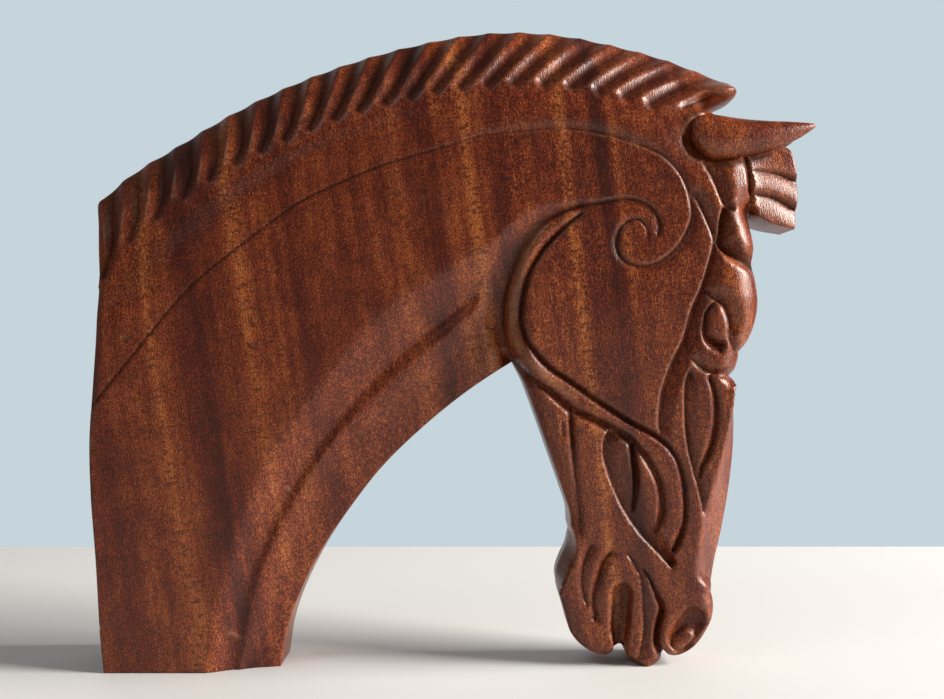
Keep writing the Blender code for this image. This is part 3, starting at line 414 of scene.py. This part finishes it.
# The wax along these cuts is painted shade: it darkens the faces turned from the window, on the left of the
# forehead column and of the lobe over the brow, and the creases round the eye.
gouge(CHEEK_FRONT, [5, 6, 6, 5, 5, 7, 9, 8, 8, 7, 6, 6], 1.2,
      [FACE_DEPTH * k for k in (0.4, 0.6, 0.8, 1, 1, 1, 1, 0.9, 0.8, 0.7, 0.6, 0.5)], ("vee", "round"),
      wax=0.5)
gouge(POLL_LINE, [9, 9, 8.5, 8, 5, 3], 1.5, FACE_DEPTH * 0.9, ("vee", "round"), (0, 3), wax=0.6,
      wax_width=(6.0, 0.8))
gouge(LOBE_EDGE, [3, 6, 9, 13, 12, 7, 3], [1.5, 1.5, 1.5, 1.8, 3, 5, 4],
      [FACE_DEPTH * k for k in (1, 1.3, 1.5, 1.7, 1.7, 1.4, 1)], ("vee", "round"), (1, 0), wax=1.0,
      wax_width=(9.0, 1.5))
gouge(BROW_INNER, [3, 6, 7, 7.5, 7.5, 5, 3], [2, 3, 4, 4, 4, 3, 2],
      [FACE_DEPTH * k for k in (0.7, 1, 1.2, 1.3, 1.3, 1, 1)], ("vee", "bull"), (3, 0), wax=0.9)
gouge(EYE_LEFT, 4.5, [1.2, 1.4, 1.8, 2.8, 4.6, 5.4], [FACE_DEPTH * k for k in (1, 1, 1, 1.1, 1.25, 1.25)],
      ("bull", "vee"), (2, 2), wax=0.8, wax_width=(1.4, 0.5))
gouge(LID_OUTER, 4.5, 3.0, [FACE_DEPTH * k for k in (0.2, 0.3, 0.6, 1, 1)], "round", (3, 0))

face_rim = HALF - NOSE_THICKNESS / 2
round_over(FOREHEAD + BROW[1:], [15, 14, 14, 13, 15, 16, 16, 14, 12], face_rim * 0.72, "bull")
round_over(LID, [12, 11, 9, 8], face_rim * 0.62, "bull")


# The nose and muzzle.
# Long overlapping straps run down to the nostril, the mouth is an upright slot, and the lips are rounded.
LEAF_LEFT = [(108.5, 141), (106, 135), (105.6, 121), (106.5, 108), (109, 96), (112.5, 84), (114.3, 76),
             (114.8, 69)]
LEAF_RIGHT = [(116.3, 138.5), (119.5, 129), (120.4, 119), (119.3, 108.5), (116.5, 99.5), (113.4, 93),
              (112.3, 87)]
JAW_PANEL = [(73, 112.5), (69, 108.5), (68, 102), (69.3, 94.6), (73, 84.4), (78, 74), (85, 63.7), (94.2, 54),
             (101, 46.5)]
RECESS_RIB = [(81.4, 107), (82, 98), (82.9, 90), (82.6, 80), (81.5, 71)]
JAW_GROOVE = [(52.3, 123), (53.2, 110), (53.8, 101), (56, 82), (57, 74), (57, 60)]
JAW_TICK = [(48.6, 116.5), (49, 108)]
CHIN_GROOVE = [(65.2, 60), (62, 56), (59, 48), (58.6, 39), (60.5, 29.6), (61.4, 26)]
LIP_GROOVE = [(74.5, 56.2), (69, 50.6), (66.6, 43.6), (64.7, 36.6), (63.8, 29.6), (65, 24), (63, 20.5)]
LIP_RIDGE = [(76, 57), (81.5, 50.6), (85.3, 43.6), (86.7, 36.6), (87.3, 27), (87.6, 18), (86.7, 11),
             (84.8, 2)]
CHEEK_GROOVE = [(85.3, 48.3), (90, 41.3), (93.2, 34.2), (96.1, 27.2), (95, 22.5), (93.6, 16.5), (93.4, 10.5),
                (96, 5.5)]
MOUTH_LINE = [(77.3, 34.5), (77, 27), (76.4, 18), (76.4, 10), (76.4, 5)]
NOSTRIL_HOLLOW = [(110.6, 22), (108, 18), (104.8, 13)]
NOSTRIL_BEAD = [(107.8, 14.2), (104.6, 11)]

# The wax in these cuts is painted shade in their bottoms, in the mouth slot and in the nostril.
gouge(LEAF_LEFT, 7.0, 1.2, GROOVE_DEPTH * 0.9, "round", (4, 5))
gouge(LEAF_RIGHT, 1.8, 4.0, GROOVE_DEPTH, "round", (3, 4), wax=0.9)
gouge(JAW_PANEL, [6, 8, 10, 12, 13, 12, 10, 7, 3], 1.2, GROOVE_DEPTH * 1.5, ("cove", "round"), (3, 2),
      wax=0.5)
gouge(RECESS_RIB, 3.0, 4.0, GROOVE_DEPTH * 1.7, "round", (2, 4), wax=1.0, wax_width=(1.5, 2.0))
gouge(JAW_GROOVE, 3.0, 3.0, [GROOVE_DEPTH * k for k in (1.2, 1.2, 0.7, 0.6, 0.6, 0.4)], "round", (1, 6),
      wax=0.6)
gouge(JAW_TICK, 2.0, 2.0, GROOVE_DEPTH * 0.35, "round", (2, 2))
gouge(CHIN_GROOVE, 4.5, 4.5, GROOVE_DEPTH * 0.7, "round", (5, 5))
gouge(LIP_GROOVE, 4.0, 4.0, GROOVE_DEPTH * 0.9, "round", (4, 3))
gouge(LIP_RIDGE, 5.0, 1.5, GROOVE_DEPTH * 0.6, "round", (8, 2))
gouge(CHEEK_GROOVE, [2, 2, 2.5, 3, 3, 3, 3, 3], [2, 2, 2.5, 3, 3, 3, 3, 3],
      [GROOVE_DEPTH * k for k in (0.6, 0.8, 1, 2, 2, 1.8, 1.5, 1.2)], "round", (4, 0), wax=1.0)
gouge(MOUTH_LINE, [5, 5.1, 4.8, 3.4, 3], [5, 5.1, 4.8, 3.4, 3],
      [GROOVE_DEPTH * k for k in (1.6, 1.8, 2, 2.2, 2.2)], "pocket", (0, 0), wax=0.7, wax_width=(4.5, 4.5))
gouge(NOSTRIL_HOLLOW, 6.8, 6.8, GROOVE_DEPTH * 1.5, "dish", (0, 0), wax=0.2, wax_width=(6.0, 6.0))
gouge(NOSTRIL_BEAD, 3.8, 3.8, GROOVE_DEPTH, "dish", (0, 0), left_standing)

lip = MUZZLE_THICKNESS * 0.11
round_over(NOSE[-2:] + NOSTRIL[1:], [8, 8, 7, 6, 6, 6, 6, 5, 4],
           [lip * k for k in (0, 1.6, 1.2, 1, 1, 1, 1, 1, 1)])
round_over(UPPER_LIP, 5.0, lip)
round_over(LIP_BACK, 4.0, lip)
round_over(LOWER_LIP, [2, 5, 6, 6, 6, 6, 4], [lip * 0.8, lip, lip, lip, lip, lip, lip * 0.8])


# The forelock and the poll.
# A short fan of hair stands out between the ears, combed into three locks. Beside it the wood is hollowed
# to a pocket for each ear, and a painted shadow of the ear lies along its root.
FORELOCK_THICKNESS = 0.034
PARTING_DEPTH = 0.0034
POLL_ROUND = 0.016
POCKET_DEPTH = 0.009
FORELOCK_ROOT = [(131.5, 247), (134.5, 239), (136, 230), (136.6, 221), (137.5, 211.5)]
FORELOCK_PARTINGS = [[(137, 232.5), (149, 231.5), (160, 228)], [(137, 221.5), (149, 219.5), (160, 214)]]
EAR_POCKET = [(115, 247), (119, 246.5), (125, 246.5), (132, 247), (141, 248.5)]
EAR_ROOT = [(112, 259), (106.5, 255), (104.6, 248), (105.6, 241), (110.2, 237.5), (117, 234), (128, 235),
            (139, 238), (150, 241.5)]

forelock_rim = HALF - FORELOCK_THICKNESS / 2
gouge(FORELOCK_ROOT, 1.5, [7, 10, 11, 10, 8], [FACE_DEPTH * k for k in (0.9, 1.1, 1.2, 1.1, 0.9)],
      ("round", "vee"), (0, 0))
# The wax in the partings is painted shade.
for parting in FORELOCK_PARTINGS:
    gouge(parting, 3.0, 9.5, [PARTING_DEPTH * k for k in (0.5, 0.8, 1)], "round", (1, 0), wax=1.0)
round_over(POLL, [8, 14, 24, 22, 16], [POLL_ROUND * k for k in (0.75, 0.9, 1, 1, 1)])
round_over(FORELOCK_END, 26.0, forelock_rim, "apron")
gouge(EAR_POCKET, [11, 12, 12, 10, 7], [12, 14, 12.5, 10, 6],
      [POCKET_DEPTH * k for k in (1, 1, 1, 0.9, 0.65)], "dish", (0, 3))
gouge(EAR_POCKET, 22.0, 24.0, POCKET_DEPTH / 3, "soft", (0, 0))
# A painted shadow of the ear lies along its root, held by a cut that takes almost no wood off.
gouge(EAR_ROOT, 1.5, 1.5, POCKET_DEPTH / 30, "round", (3, 6), wax=1.0, wax_width=(2.6, 2.8))


# The marks of use.
# Five small dents in the neck and in the fine line over the cheek, from years of being handled and set down.
# The wood is pressed in and its wax rubbed off there.
DENT_DEPTH = 0.0011
DENTS = [[(-105, 17.8), (-103, 16.6), (-101, 15.2)], [(-164, 21), (-161.5, 20.6)],
         [(-153.6, 154), (-152.8, 152.6)], [(-79, 85), (-78, 83.6)], [(81, 244.8), (82.8, 243.8)]]

for dent in DENTS:
    gouge(dent, 1.3, 1.3, DENT_DEPTH, "vee", (0, 0))
    gouge(dent, 1.4, 1.4, 1.0, "cove", (0, 0), rubbed_and_highlit)


# Both faces carved.
# The same pattern is laid on each side of the board, and every edge that a hand would meet is eased.
EASE = 0.8
INSETS = (0.12, 0.4, 0.85)
DETAIL_BLEND = 3.0
THINNEST = 0.0012
ROW_STEP = 0.866
GUIDE_ROOM = 0.35
FIELD_ROOM = 0.62
RIM_ROOM = 0.02
TWICE_AS_WIDE = 4.5
FOUR_TIMES_AS_WIDE = 16.0
TIGHT_FLANK = 2.5


def half_thickness(x, z):
    """Half the wood left at each point of the pattern, in metres."""
    rim = np.zeros(x.shape)
    for one in rim_cuts:
        rim = np.maximum(rim, taken_off(one, x, z))
    carved = np.zeros(x.shape)
    for one in cuts:
        carved += taken_off(one, x, z) ** DETAIL_BLEND
    half = planed(x, z) - rim - carved ** (1.0 / DETAIL_BLEND)
    for one in left_standing:
        half = half + taken_off(one, x, z)
    inset = np.clip(nearest(closed_loop, x, z)[0] / EASE, 0.0, 1.0)
    half = half - EASE * 0.001 * (1.0 - np.sqrt(1.0 - (1.0 - inset) ** 2))
    return np.maximum(half, THINNEST)


def beside(line, distance):
    """The line moved to its left by a distance."""
    run = np.gradient(line, axis=0)
    run = run / np.maximum(np.linalg.norm(run, axis=1), 1e-9)[:, None]
    return line + distance * np.stack([-run[:, 1], run[:, 0]], axis=1)


def guide_lines():
    """Lines that the facets follow: the rim, the bottoms and tight flanks of cuts, the tops of the locks."""
    guides = []
    for inset in INSETS:
        line = beside(closed_loop, -inset)
        guides.append((line, nearest(closed_loop, line[:, 0], line[:, 1])[0] > 0.9 * inset))
    lines = [drawn_line(one["points"], FACET)[0] for one in cuts]
    for first, second in zip(valleys, valleys[1:]):
        lines.append(drawn_line((np.array(first) + np.array(second)) / 2, FACET)[0])
    for one in cuts:
        line = drawn_line(one["points"], FACET)[0]
        for width, way in ((one["left"].mean(), 1.0), (one["right"].mean(), -1.0)):
            if width < TIGHT_FLANK:
                lines.append(beside(line, way * width))
    for line in lines:
        guides.append((line, nearest(closed_loop, line[:, 0], line[:, 1])[0] > EASE + GUIDE_ROOM * FACET))
    return guides


def cut_pattern():
    """Points and triangles that fill the outline, close together where it is carved and wide on the flat."""
    points = [tuple(p) for p in pattern_loop]
    edges = []
    cell = GUIDE_ROOM * FACET
    used = {}

    def crowded(p, room):
        """True if a guide point already lies nearer than room."""
        i, j = int(p[0] // cell), int(p[1] // cell)
        for a in range(i - 1, i + 2):
            for b in range(j - 1, j + 2):
                for q in used.get((a, b), ()):
                    if (q[0] - p[0]) ** 2 + (q[1] - p[1]) ** 2 < room * room:
                        return True
        return False

    for number, (line, clear) in enumerate(guide_lines()):
        clear = clear & inside_pattern(pattern_loop, line[:, 0], line[:, 1])
        room = RIM_ROOM if number < len(INSETS) else cell
        previous = None
        for p, usable in zip(line, clear):
            if not usable or crowded(p, room):
                previous = None
                continue
            points.append((float(p[0]), float(p[1])))
            used.setdefault((int(p[0] // cell), int(p[1] // cell)), []).append(points[-1])
            if previous is not None:
                edges.append((previous, len(points) - 1))
            previous = len(points) - 1
    guides = kdtree.KDTree(len(points))
    for i, p in enumerate(points):
        guides.insert((p[0], p[1], 0.0), i)
    guides.balance()
    low = pattern_loop.min(axis=0)
    high = pattern_loop.max(axis=0)
    rows = int((high[1] - low[1]) / (FACET * ROW_STEP)) + 1
    across = int((high[0] - low[0]) / FACET) + 1
    for r in range(rows):
        q = np.arange(-(r // 2) - 4, across - r // 2 + 4)
        x = low[0] + (q + r / 2) * FACET
        z = np.full(x.shape, low[1] + (r + 0.5) * FACET * ROW_STEP)
        inside = inside_pattern(pattern_loop, x, z)
        for k in np.nonzero(inside)[0]:
            open_field = guides.find((x[k], z[k], 0.0))[2]
            level = 4 if open_field > FOUR_TIMES_AS_WIDE else 2 if open_field > TWICE_AS_WIDE else 1
            if q[k] % level == 0 and r % level == 0 and open_field > FIELD_ROOM * FACET:
                points.append((float(x[k]), float(z[k])))
    rim = list(range(len(pattern_loop)))[::-1]
    filled = delaunay_2d_cdt([Vector(p) for p in points], edges, [rim], 1, 1e-4)
    return np.array([tuple(v) for v in filled[0]]), [tuple(f) for f in filled[2]]


def carved_board():
    """The sheet of the pattern, drawn out to both sides of the board and carved."""
    flat, faces = cut_pattern()
    half = half_thickness(flat[:, 0], flat[:, 1])
    bm = bmesh.new()
    depth = bm.verts.layers.float.new("half")
    for (x, z), h in zip(flat, half):
        vert = bm.verts.new(((x - MIDDLE) * SHARE, 0.0, z * SHARE))
        vert[depth] = h
    bm.verts.ensure_lookup_table()
    for f in faces:
        bm.faces.new([bm.verts[i] for i in f])
    bmesh.ops.recalc_face_normals(bm, faces=bm.faces)
    sheet = list(bm.faces)
    if sheet[0].normal.y > 0.0:
        bmesh.ops.reverse_faces(bm, faces=sheet)
    drawn = bmesh.ops.extrude_face_region(bm, geom=sheet, use_keep_orig=True)["geom"]
    far = [v for v in drawn if isinstance(v, bmesh.types.BMVert)]
    for vert in far:
        vert.co.y = 1.0
    for vert in bm.verts:
        vert.co.y = vert[depth] if vert.co.y > 0.5 else -vert[depth]
    bmesh.ops.recalc_face_normals(bm, faces=bm.faces)
    return bm


head = carved_board()
carving = bpy.data.objects.new("carved_horse_head", bpy.data.meshes.new("carved_horse_head"))
head.to_mesh(carving.data)
head.free()
bpy.context.collection.objects.link(carving)


# The ears.
# Each is a pointed leaf lying forward, left standing from the same wood on either side of the poll.
EAR_THICKNESS = 0.017
EAR_ROOT_END = (108.2, 250, 252, 0.0)
EAR_SECTIONS = [(108.7, 246, 256.5, 0.6), (110, 243.5, 259, 0.8), (112, 241, 259.3, 0.92),
                (115.5, 237.8, 259.2, 1.0), (120.4, 236, 258.2, 1.0), (129, 237.3, 256.9, 1.0),
                (136.2, 238.8, 256.1, 0.93), (145.5, 241.1, 255.5, 0.8), (153.5, 244.5, 255.3, 0.6),
                (159.5, 247.4, 255, 0.42), (165, 251, 254.6, 0.2), (168.0, 253.6, 254.1, 0.0)]
EAR_TILT = 0.0016
EAR_SINK = 0.0002


def ear(name, way):
    """One ear; a section is a place along the head, a lower and upper edge and a share of the thickness."""
    sections = np.array([EAR_ROOT_END] + EAR_SECTIONS)
    bm = bmesh.new()
    bmesh.ops.create_uvsphere(bm, u_segments=40, v_segments=56, radius=1.0)
    knots = np.linspace(0.0, 1.0, len(sections))
    for vert in bm.verts:
        along = np.arccos(np.clip(vert.co.z, -1.0, 1.0)) / np.pi
        x, low, high, share = (np.interp(along, knots, sections[:, k]) for k in range(4))
        around = np.hypot(vert.co.x, vert.co.y)
        out, up = (vert.co.x / around, vert.co.y / around) if around > 1e-6 else (0.0, 0.0)
        tilt = EAR_TILT * (x - EAR_SECTIONS[0][0]) / (EAR_TIP[0] - EAR_SECTIONS[0][0])
        centre = HALF - EAR_THICKNESS / 2 - EAR_SINK - tilt
        vert.co = ((x - MIDDLE) * SHARE, way * (centre + share * EAR_THICKNESS / 2 * out),
                   ((low + high) / 2 + (high - low) / 2 * up) * SHARE)
    bmesh.ops.smooth_vert(bm, verts=bm.verts, factor=0.5, use_axis_x=True, use_axis_y=True, use_axis_z=True)
    bmesh.ops.recalc_face_normals(bm, faces=bm.faces)
    one = bpy.data.objects.new(name, bpy.data.meshes.new(name))
    bm.to_mesh(one.data)
    bm.free()
    bpy.context.collection.objects.link(one)
    return one


for ear_name, way in (("near_ear", -1.0), ("far_ear", 1.0)):
    one_ear = ear(ear_name, way)
    join = carving.modifiers.new(ear_name, "BOOLEAN")
    join.operation = "UNION"
    join.solver = "EXACT"
    join.object = one_ear
joined = bpy.data.meshes.new_from_object(carving.evaluated_get(bpy.context.evaluated_depsgraph_get()))
carving.modifiers.clear()
carving.data = joined
for ear_name in ("near_ear", "far_ear"):
    bpy.data.objects.remove(bpy.data.objects[ear_name])
carving.data.shade_smooth()


# The wood.
# Mahogany cut on the quarter: upright ribbons of light and dark, fine pores and a cross ripple,
# rubbed with dark wax that has stayed in the hollows and worn off the sharp edges. Painted shade darkens
# the hollows, the faces turned from the window and the shadows cast by the strap and the ears, and a
# painted highlight lightens the crown of the strap.
CURVATURE_ROUNDS = (3, 20)
GRAIN_LEAN = np.radians(8.0)
PALE_RIBBONS = [(-137, 6), (-94.5, 5.5), (18, 4.5), (62, 5)]
DARK_RIBBONS = [(-115.5, 14), (-68, 10), (-3.5, 10.5), (35, 9), (79, 6)]
RIBBON_CONTRAST = 0.25


def hollowness(mesh):
    """How tightly each point is bent, per millimetre, at two scales: above 0 in a hollow, below on edges."""
    count = len(mesh.vertices)
    place = np.empty(count * 3)
    normal = np.empty(count * 3)
    ends = np.empty(len(mesh.edges) * 2, dtype=int)
    mesh.vertices.foreach_get("co", place)
    mesh.vertices.foreach_get("normal", normal)
    mesh.edges.foreach_get("vertices", ends)
    place = place.reshape(-1, 3) * 1000.0
    normal = normal.reshape(-1, 3)
    a, b = ends[::2], ends[1::2]
    near = np.bincount(a, minlength=count) + np.bincount(b, minlength=count)
    length = np.linalg.norm(place[a] - place[b], axis=1) ** 2
    length = (np.bincount(a, length, count) + np.bincount(b, length, count)) / near
    found = []
    eased_place = place.copy()
    for rounds in range(max(CURVATURE_ROUNDS)):
        moved = np.stack([np.bincount(a, eased_place[b, k], count) + np.bincount(b, eased_place[a, k], count)
                          for k in range(3)], axis=1)
        eased_place = moved / near[:, None]
        length = (np.bincount(a, length[b], count) + np.bincount(b, length[a], count)) / near
        if rounds + 1 in CURVATURE_ROUNDS:
            found.append(((eased_place - place) * normal).sum(axis=1) * 4.0 / ((rounds + 1) * length))
    return found


def laid_along(lines, mesh):
    """The share that the lines lay on each point of the mesh, of dark wax and painted shade as of wear and
    painted highlight.
    """
    place = np.empty(len(mesh.vertices) * 3)
    mesh.vertices.foreach_get("co", place)
    x = place[::3] / SHARE + MIDDLE
    z = place[2::3] / SHARE
    share = np.zeros(len(x))
    for line in lines:
        share = np.maximum(share, taken_off(line, x, z))
    return share


def wax_and_shade_lines():
    """The bottoms of the cuts, with the share of dark wax and painted shade laid in them and beside them."""
    lines = []
    for one in cuts:
        if one["wax"].max() > 0.0:
            wide_left, wide_right = (np.full(len(one["points"]), width) for width in one["wax_width"])
            lines.append({**one, "left": wide_left, "right": wide_right, "depth": one["wax"],
                          "flanks": ("vee", "vee")})
    return lines


# Curvature at two scales: the hollows get dark wax and painted shade, and sharp edges are worn paler. The cut
# lines add painted shade beside the cuts, and the rubbed lines add wear at the dents and a painted highlight
# along the strap's crown.
fine, broad = hollowness(carving.data)
wear_and_highlight_share = carving.data.attributes.new("wear_and_painted_highlight", "FLOAT", "POINT")
wear_and_highlight_share.data.foreach_set("value", np.maximum(eased(-fine, 0.15, 0.7), laid_along(rubbed_and_highlit, carving.data)))
wax = carving.data.attributes.new("wax_and_painted_shade", "FLOAT", "POINT")
wax.data.foreach_set("value", np.maximum(0.5 * eased(fine, 0.05, 0.8) + 0.5 * eased(broad, 0.02, 0.25),
                                         laid_along(wax_and_shade_lines(), carving.data)))

wood = bpy.data.materials.new("waxed_mahogany")
wood.use_nodes = True
nodes = wood.node_tree.nodes
links = wood.node_tree.links
shader = nodes["Principled BSDF"]


def grain(scale, detail, sharp=0.5):
    """Noise stretched along the grain, with its scale per metre across the face, through it and along it."""
    stretched = nodes.new("ShaderNodeVectorMath")
    stretched.operation = "MULTIPLY"
    stretched.inputs[1].default_value = scale
    links.new(upright.outputs["Vector"], stretched.inputs[0])
    texture = nodes.new("ShaderNodeTexNoise")
    texture.inputs["Scale"].default_value = 1.0
    texture.inputs["Detail"].default_value = detail
    texture.inputs["Roughness"].default_value = sharp
    links.new(stretched.outputs["Vector"], texture.inputs["Vector"])
    return texture.outputs["Fac"]


def sum_of(first, second, share):
    """first + (second - 0.5) * share."""
    scaled = nodes.new("ShaderNodeMath")
    scaled.operation = "MULTIPLY_ADD"
    scaled.inputs[1].default_value = share
    scaled.inputs[2].default_value = -0.5 * share
    links.new(second, scaled.inputs[0])
    total = nodes.new("ShaderNodeMath")
    total.operation = "ADD"
    links.new(first, total.inputs[0])
    links.new(scaled.outputs[0], total.inputs[1])
    return total.outputs[0]


def product(first, second):
    """first * second, where second may be a number."""
    both = nodes.new("ShaderNodeMath")
    both.operation = "MULTIPLY"
    links.new(first, both.inputs[0])
    if isinstance(second, float):
        both.inputs[1].default_value = second
    else:
        links.new(second, both.inputs[1])
    return both.outputs[0]


def ramp(value, stops):
    """A colour ramp: stops are (place, colour)."""
    colours = nodes.new("ShaderNodeValToRGB")
    while len(colours.color_ramp.elements) < len(stops):
        colours.color_ramp.elements.new(0.5)
    for element, (place, colour) in zip(colours.color_ramp.elements, stops):
        element.position = place
        element.color = (*colour, 1.0) if isinstance(colour, tuple) else (colour, colour, colour, 1.0)
    links.new(value, colours.inputs["Fac"])
    return colours.outputs["Color"]


def mixed(share, first, second, way="MIX"):
    """The first colour with a share of the second laid over it."""
    mix = nodes.new("ShaderNodeMix")
    mix.data_type = "RGBA"
    mix.blend_type = way
    for value, socket in ((share, mix.inputs["Factor"]), (first, mix.inputs["A"]), (second, mix.inputs["B"])):
        if isinstance(value, tuple):
            socket.default_value = (*value, 1.0)
        elif isinstance(value, float):
            socket.default_value = value
        else:
            links.new(value, socket)
    return mix.outputs["Result"]


placed = nodes.new("ShaderNodeTexCoord")
upright = nodes.new("ShaderNodeMapping")
upright.inputs["Rotation"].default_value = (0.0, GRAIN_LEAN, 0.0)
links.new(placed.outputs["Object"], upright.inputs["Vector"])


def ribbons_of_light():
    """Pale and dark ribbons, each given by its place at half the height of the head and by its half width."""
    edges = [((place + way * half) * 0.001, 0.5 + (way == 0) * turn * RIBBON_CONTRAST)
             for turn, ribbons in ((1, PALE_RIBBONS), (-1, DARK_RIBBONS))
             for place, half in ribbons for way in (-1, 0, 1)]
    edges.sort()
    apart = nodes.new("ShaderNodeSeparateXYZ")
    links.new(upright.outputs["Vector"], apart.inputs["Vector"])
    spread = nodes.new("ShaderNodeMapRange")
    for socket, place in (("From Min", edges[0][0]), ("From Max", edges[-1][0])):
        spread.inputs[socket].default_value = place * np.cos(GRAIN_LEAN) + HEIGHT / 2 * np.sin(GRAIN_LEAN)
    links.new(sum_of(apart.outputs["X"], grain((14.0, 14.0, 5.0), 1.0), 0.012), spread.inputs["Value"])
    length = edges[-1][0] - edges[0][0]
    return ramp(spread.outputs["Result"], [((place - edges[0][0]) / length, light) for place, light in edges])


ribbon = grain((55.0, 10.0, 2.4), 1.5)
bands = grain((230.0, 40.0, 5.0), 2.0)
figure = grain((120.0, 90.0, 60.0), 3.0, 0.6)
streaks = grain((1500.0, 700.0, 200.0), 2.0)
speckle = grain((1700.0, 1700.0, 1200.0), 2.0, 0.65)
pores = grain((1900.0, 1900.0, 420.0), 1.0)
ripple = grain((360.0, 250.0, 720.0), 2.0)
drawn_ribbons = ribbons_of_light()
pale_band = ramp(sum_of(drawn_ribbons, bands, 0.7), [(0.52, 0.0), (0.66, 1.0)])
tone = sum_of(drawn_ribbons, ribbon, 0.4)
tone = sum_of(tone, bands, 0.45)
tone = sum_of(tone, figure, 0.45)
tone = sum_of(tone, streaks, 0.5)
tone = sum_of(tone, speckle, 1.5)
colour = ramp(tone, [(0.15, (0.030, 0.004, 0.002)), (0.36, (0.090, 0.011, 0.004)),
                     (0.52, (0.160, 0.026, 0.008)), (0.68, (0.260, 0.060, 0.014)),
                     (0.9, (0.430, 0.140, 0.036))])
tick = ramp(ripple, [(0.36, 1.0), (0.47, 0.0)])
colour = mixed(product(product(tick, pale_band), 0.5), colour, (0.040, 0.008, 0.004))
pore_dark = ramp(pores, [(0.32, 0.0), (0.42, 1.0)])
colour = mixed(0.5, colour, pore_dark, "MULTIPLY")

dark = nodes.new("ShaderNodeAttribute")
dark.attribute_name = "wax_and_painted_shade"
wear_and_highlight = nodes.new("ShaderNodeAttribute")
wear_and_highlight.attribute_name = "wear_and_painted_highlight"
# Dark wax and painted shade darken the wood in the hollows, on faces turned from the window and in cast
# shadows; wear and a painted highlight make edges, dents and the strap's crown paler.
colour = mixed(product(dark.outputs["Fac"], 0.8), colour, (0.016, 0.005, 0.003))
colour = mixed(product(wear_and_highlight.outputs["Fac"], 0.3), colour, (0.46, 0.22, 0.11))
colour = mixed(product(tick, 0.4), colour, (0.030, 0.006, 0.003))
links.new(colour, shader.inputs["Base Color"])

rough = nodes.new("ShaderNodeMapRange")
rough.inputs["To Min"].default_value = 0.31
rough.inputs["To Max"].default_value = 0.54
links.new(sum_of(grain((60.0, 60.0, 30.0), 2.0), dark.outputs["Fac"], 1.0), rough.inputs["Value"])
links.new(rough.outputs["Result"], shader.inputs["Roughness"])
shine = nodes.new("ShaderNodeMapRange")
shine.inputs["To Min"].default_value = 0.48
shine.inputs["To Max"].default_value = 0.06
links.new(dark.outputs["Fac"], shine.inputs["Value"])
links.new(shine.outputs["Result"], shader.inputs["Specular IOR Level"])
shader.inputs["Specular Tint"].default_value = (1.0, 0.87, 0.80, 1.0)

pits = nodes.new("ShaderNodeBump")
pits.inputs["Strength"].default_value = 0.45
pits.inputs["Distance"].default_value = 0.0003
links.new(sum_of(sum_of(pores, streaks, 0.6), speckle, 0.5), pits.inputs["Height"])
links.new(pits.outputs["Normal"], shader.inputs["Normal"])

carving.data.materials.clear()
carving.data.materials.append(wood)
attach(carving, "root")
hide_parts("horse_head")


# The studio.
# A plain pale floor, the broad light of a window on the right, a little light from above, and a faint one
# from behind that lifts the edges.
floor_mesh = bpy.data.meshes.new("floor")
bm = bmesh.new()
bmesh.ops.create_grid(bm, x_segments=1, y_segments=1, size=2.0)
bmesh.ops.translate(bm, verts=bm.verts, vec=(0.0, -1.64, 0.0))
bm.to_mesh(floor_mesh)
bm.free()
floor = bpy.data.objects.new("floor", floor_mesh)
bpy.context.collection.objects.link(floor)
pale = bpy.data.materials.new("pale_floor")
pale.use_nodes = True
pale.node_tree.nodes["Principled BSDF"].inputs["Base Color"].default_value = (0.73, 0.72, 0.695, 1.0)
pale.node_tree.nodes["Principled BSDF"].inputs["Roughness"].default_value = 0.7
floor.data.materials.append(pale)

world = bpy.data.worlds.new("studio")
world.use_nodes = True
air = world.node_tree.nodes["Background"]
air.inputs["Color"].default_value = (1.0, 0.88, 0.80, 1.0)
air.inputs["Strength"].default_value = 0.13
backdrop = world.node_tree.nodes.new("ShaderNodeBackground")
backdrop.inputs["Color"].default_value = (0.565, 0.658, 0.716, 1.0)
seen = world.node_tree.nodes.new("ShaderNodeLightPath")
either = world.node_tree.nodes.new("ShaderNodeMixShader")
world.node_tree.links.new(seen.outputs["Is Camera Ray"], either.inputs["Fac"])
world.node_tree.links.new(air.outputs["Background"], either.inputs[1])
world.node_tree.links.new(backdrop.outputs["Background"], either.inputs[2])
world.node_tree.links.new(either.outputs["Shader"], world.node_tree.nodes["World Output"].inputs["Surface"])
bpy.context.scene.world = world
bpy.context.scene.view_settings.view_transform = "Standard"


def softbox(name, place, target, size, power, colour):
    """A square light that faces its target and isn't seen by the camera."""
    light = bpy.data.lights.new(name, "AREA")
    light.shape = "SQUARE"
    light.size = size
    light.energy = power
    light.color = colour
    lamp = bpy.data.objects.new(name, light)
    lamp.location = place
    lamp.rotation_euler = (Vector(target) - Vector(place)).to_track_quat("-Z", "Y").to_euler()
    lamp.visible_camera = False
    bpy.context.collection.objects.link(lamp)


softbox("window", (2.40, -0.40, 1.12), (0.0, 0.0, 0.15), 1.3, 170.0, (1.0, 0.98, 0.95))
softbox("sky", (-0.75, -0.75, 1.1), (-0.1, 0.0, 0.2), 0.5, 2.2, (0.85, 0.92, 1.0))
softbox("rim_light", (0.0, 1.3, 0.45), (0.0, 0.0, 0.2), 2.0, 7.5, (0.88, 0.94, 1.0))

camera = bpy.data.objects.new("camera", bpy.data.cameras.new("camera"))
camera.data.lens = 50.3
camera.data.sensor_width = 36.0
camera.location = (0.0087, -0.636, 0.14885)
camera.rotation_euler = (np.pi / 2, 0.0, 0.0)
bpy.context.collection.objects.link(camera)
bpy.context.scene.camera = camera
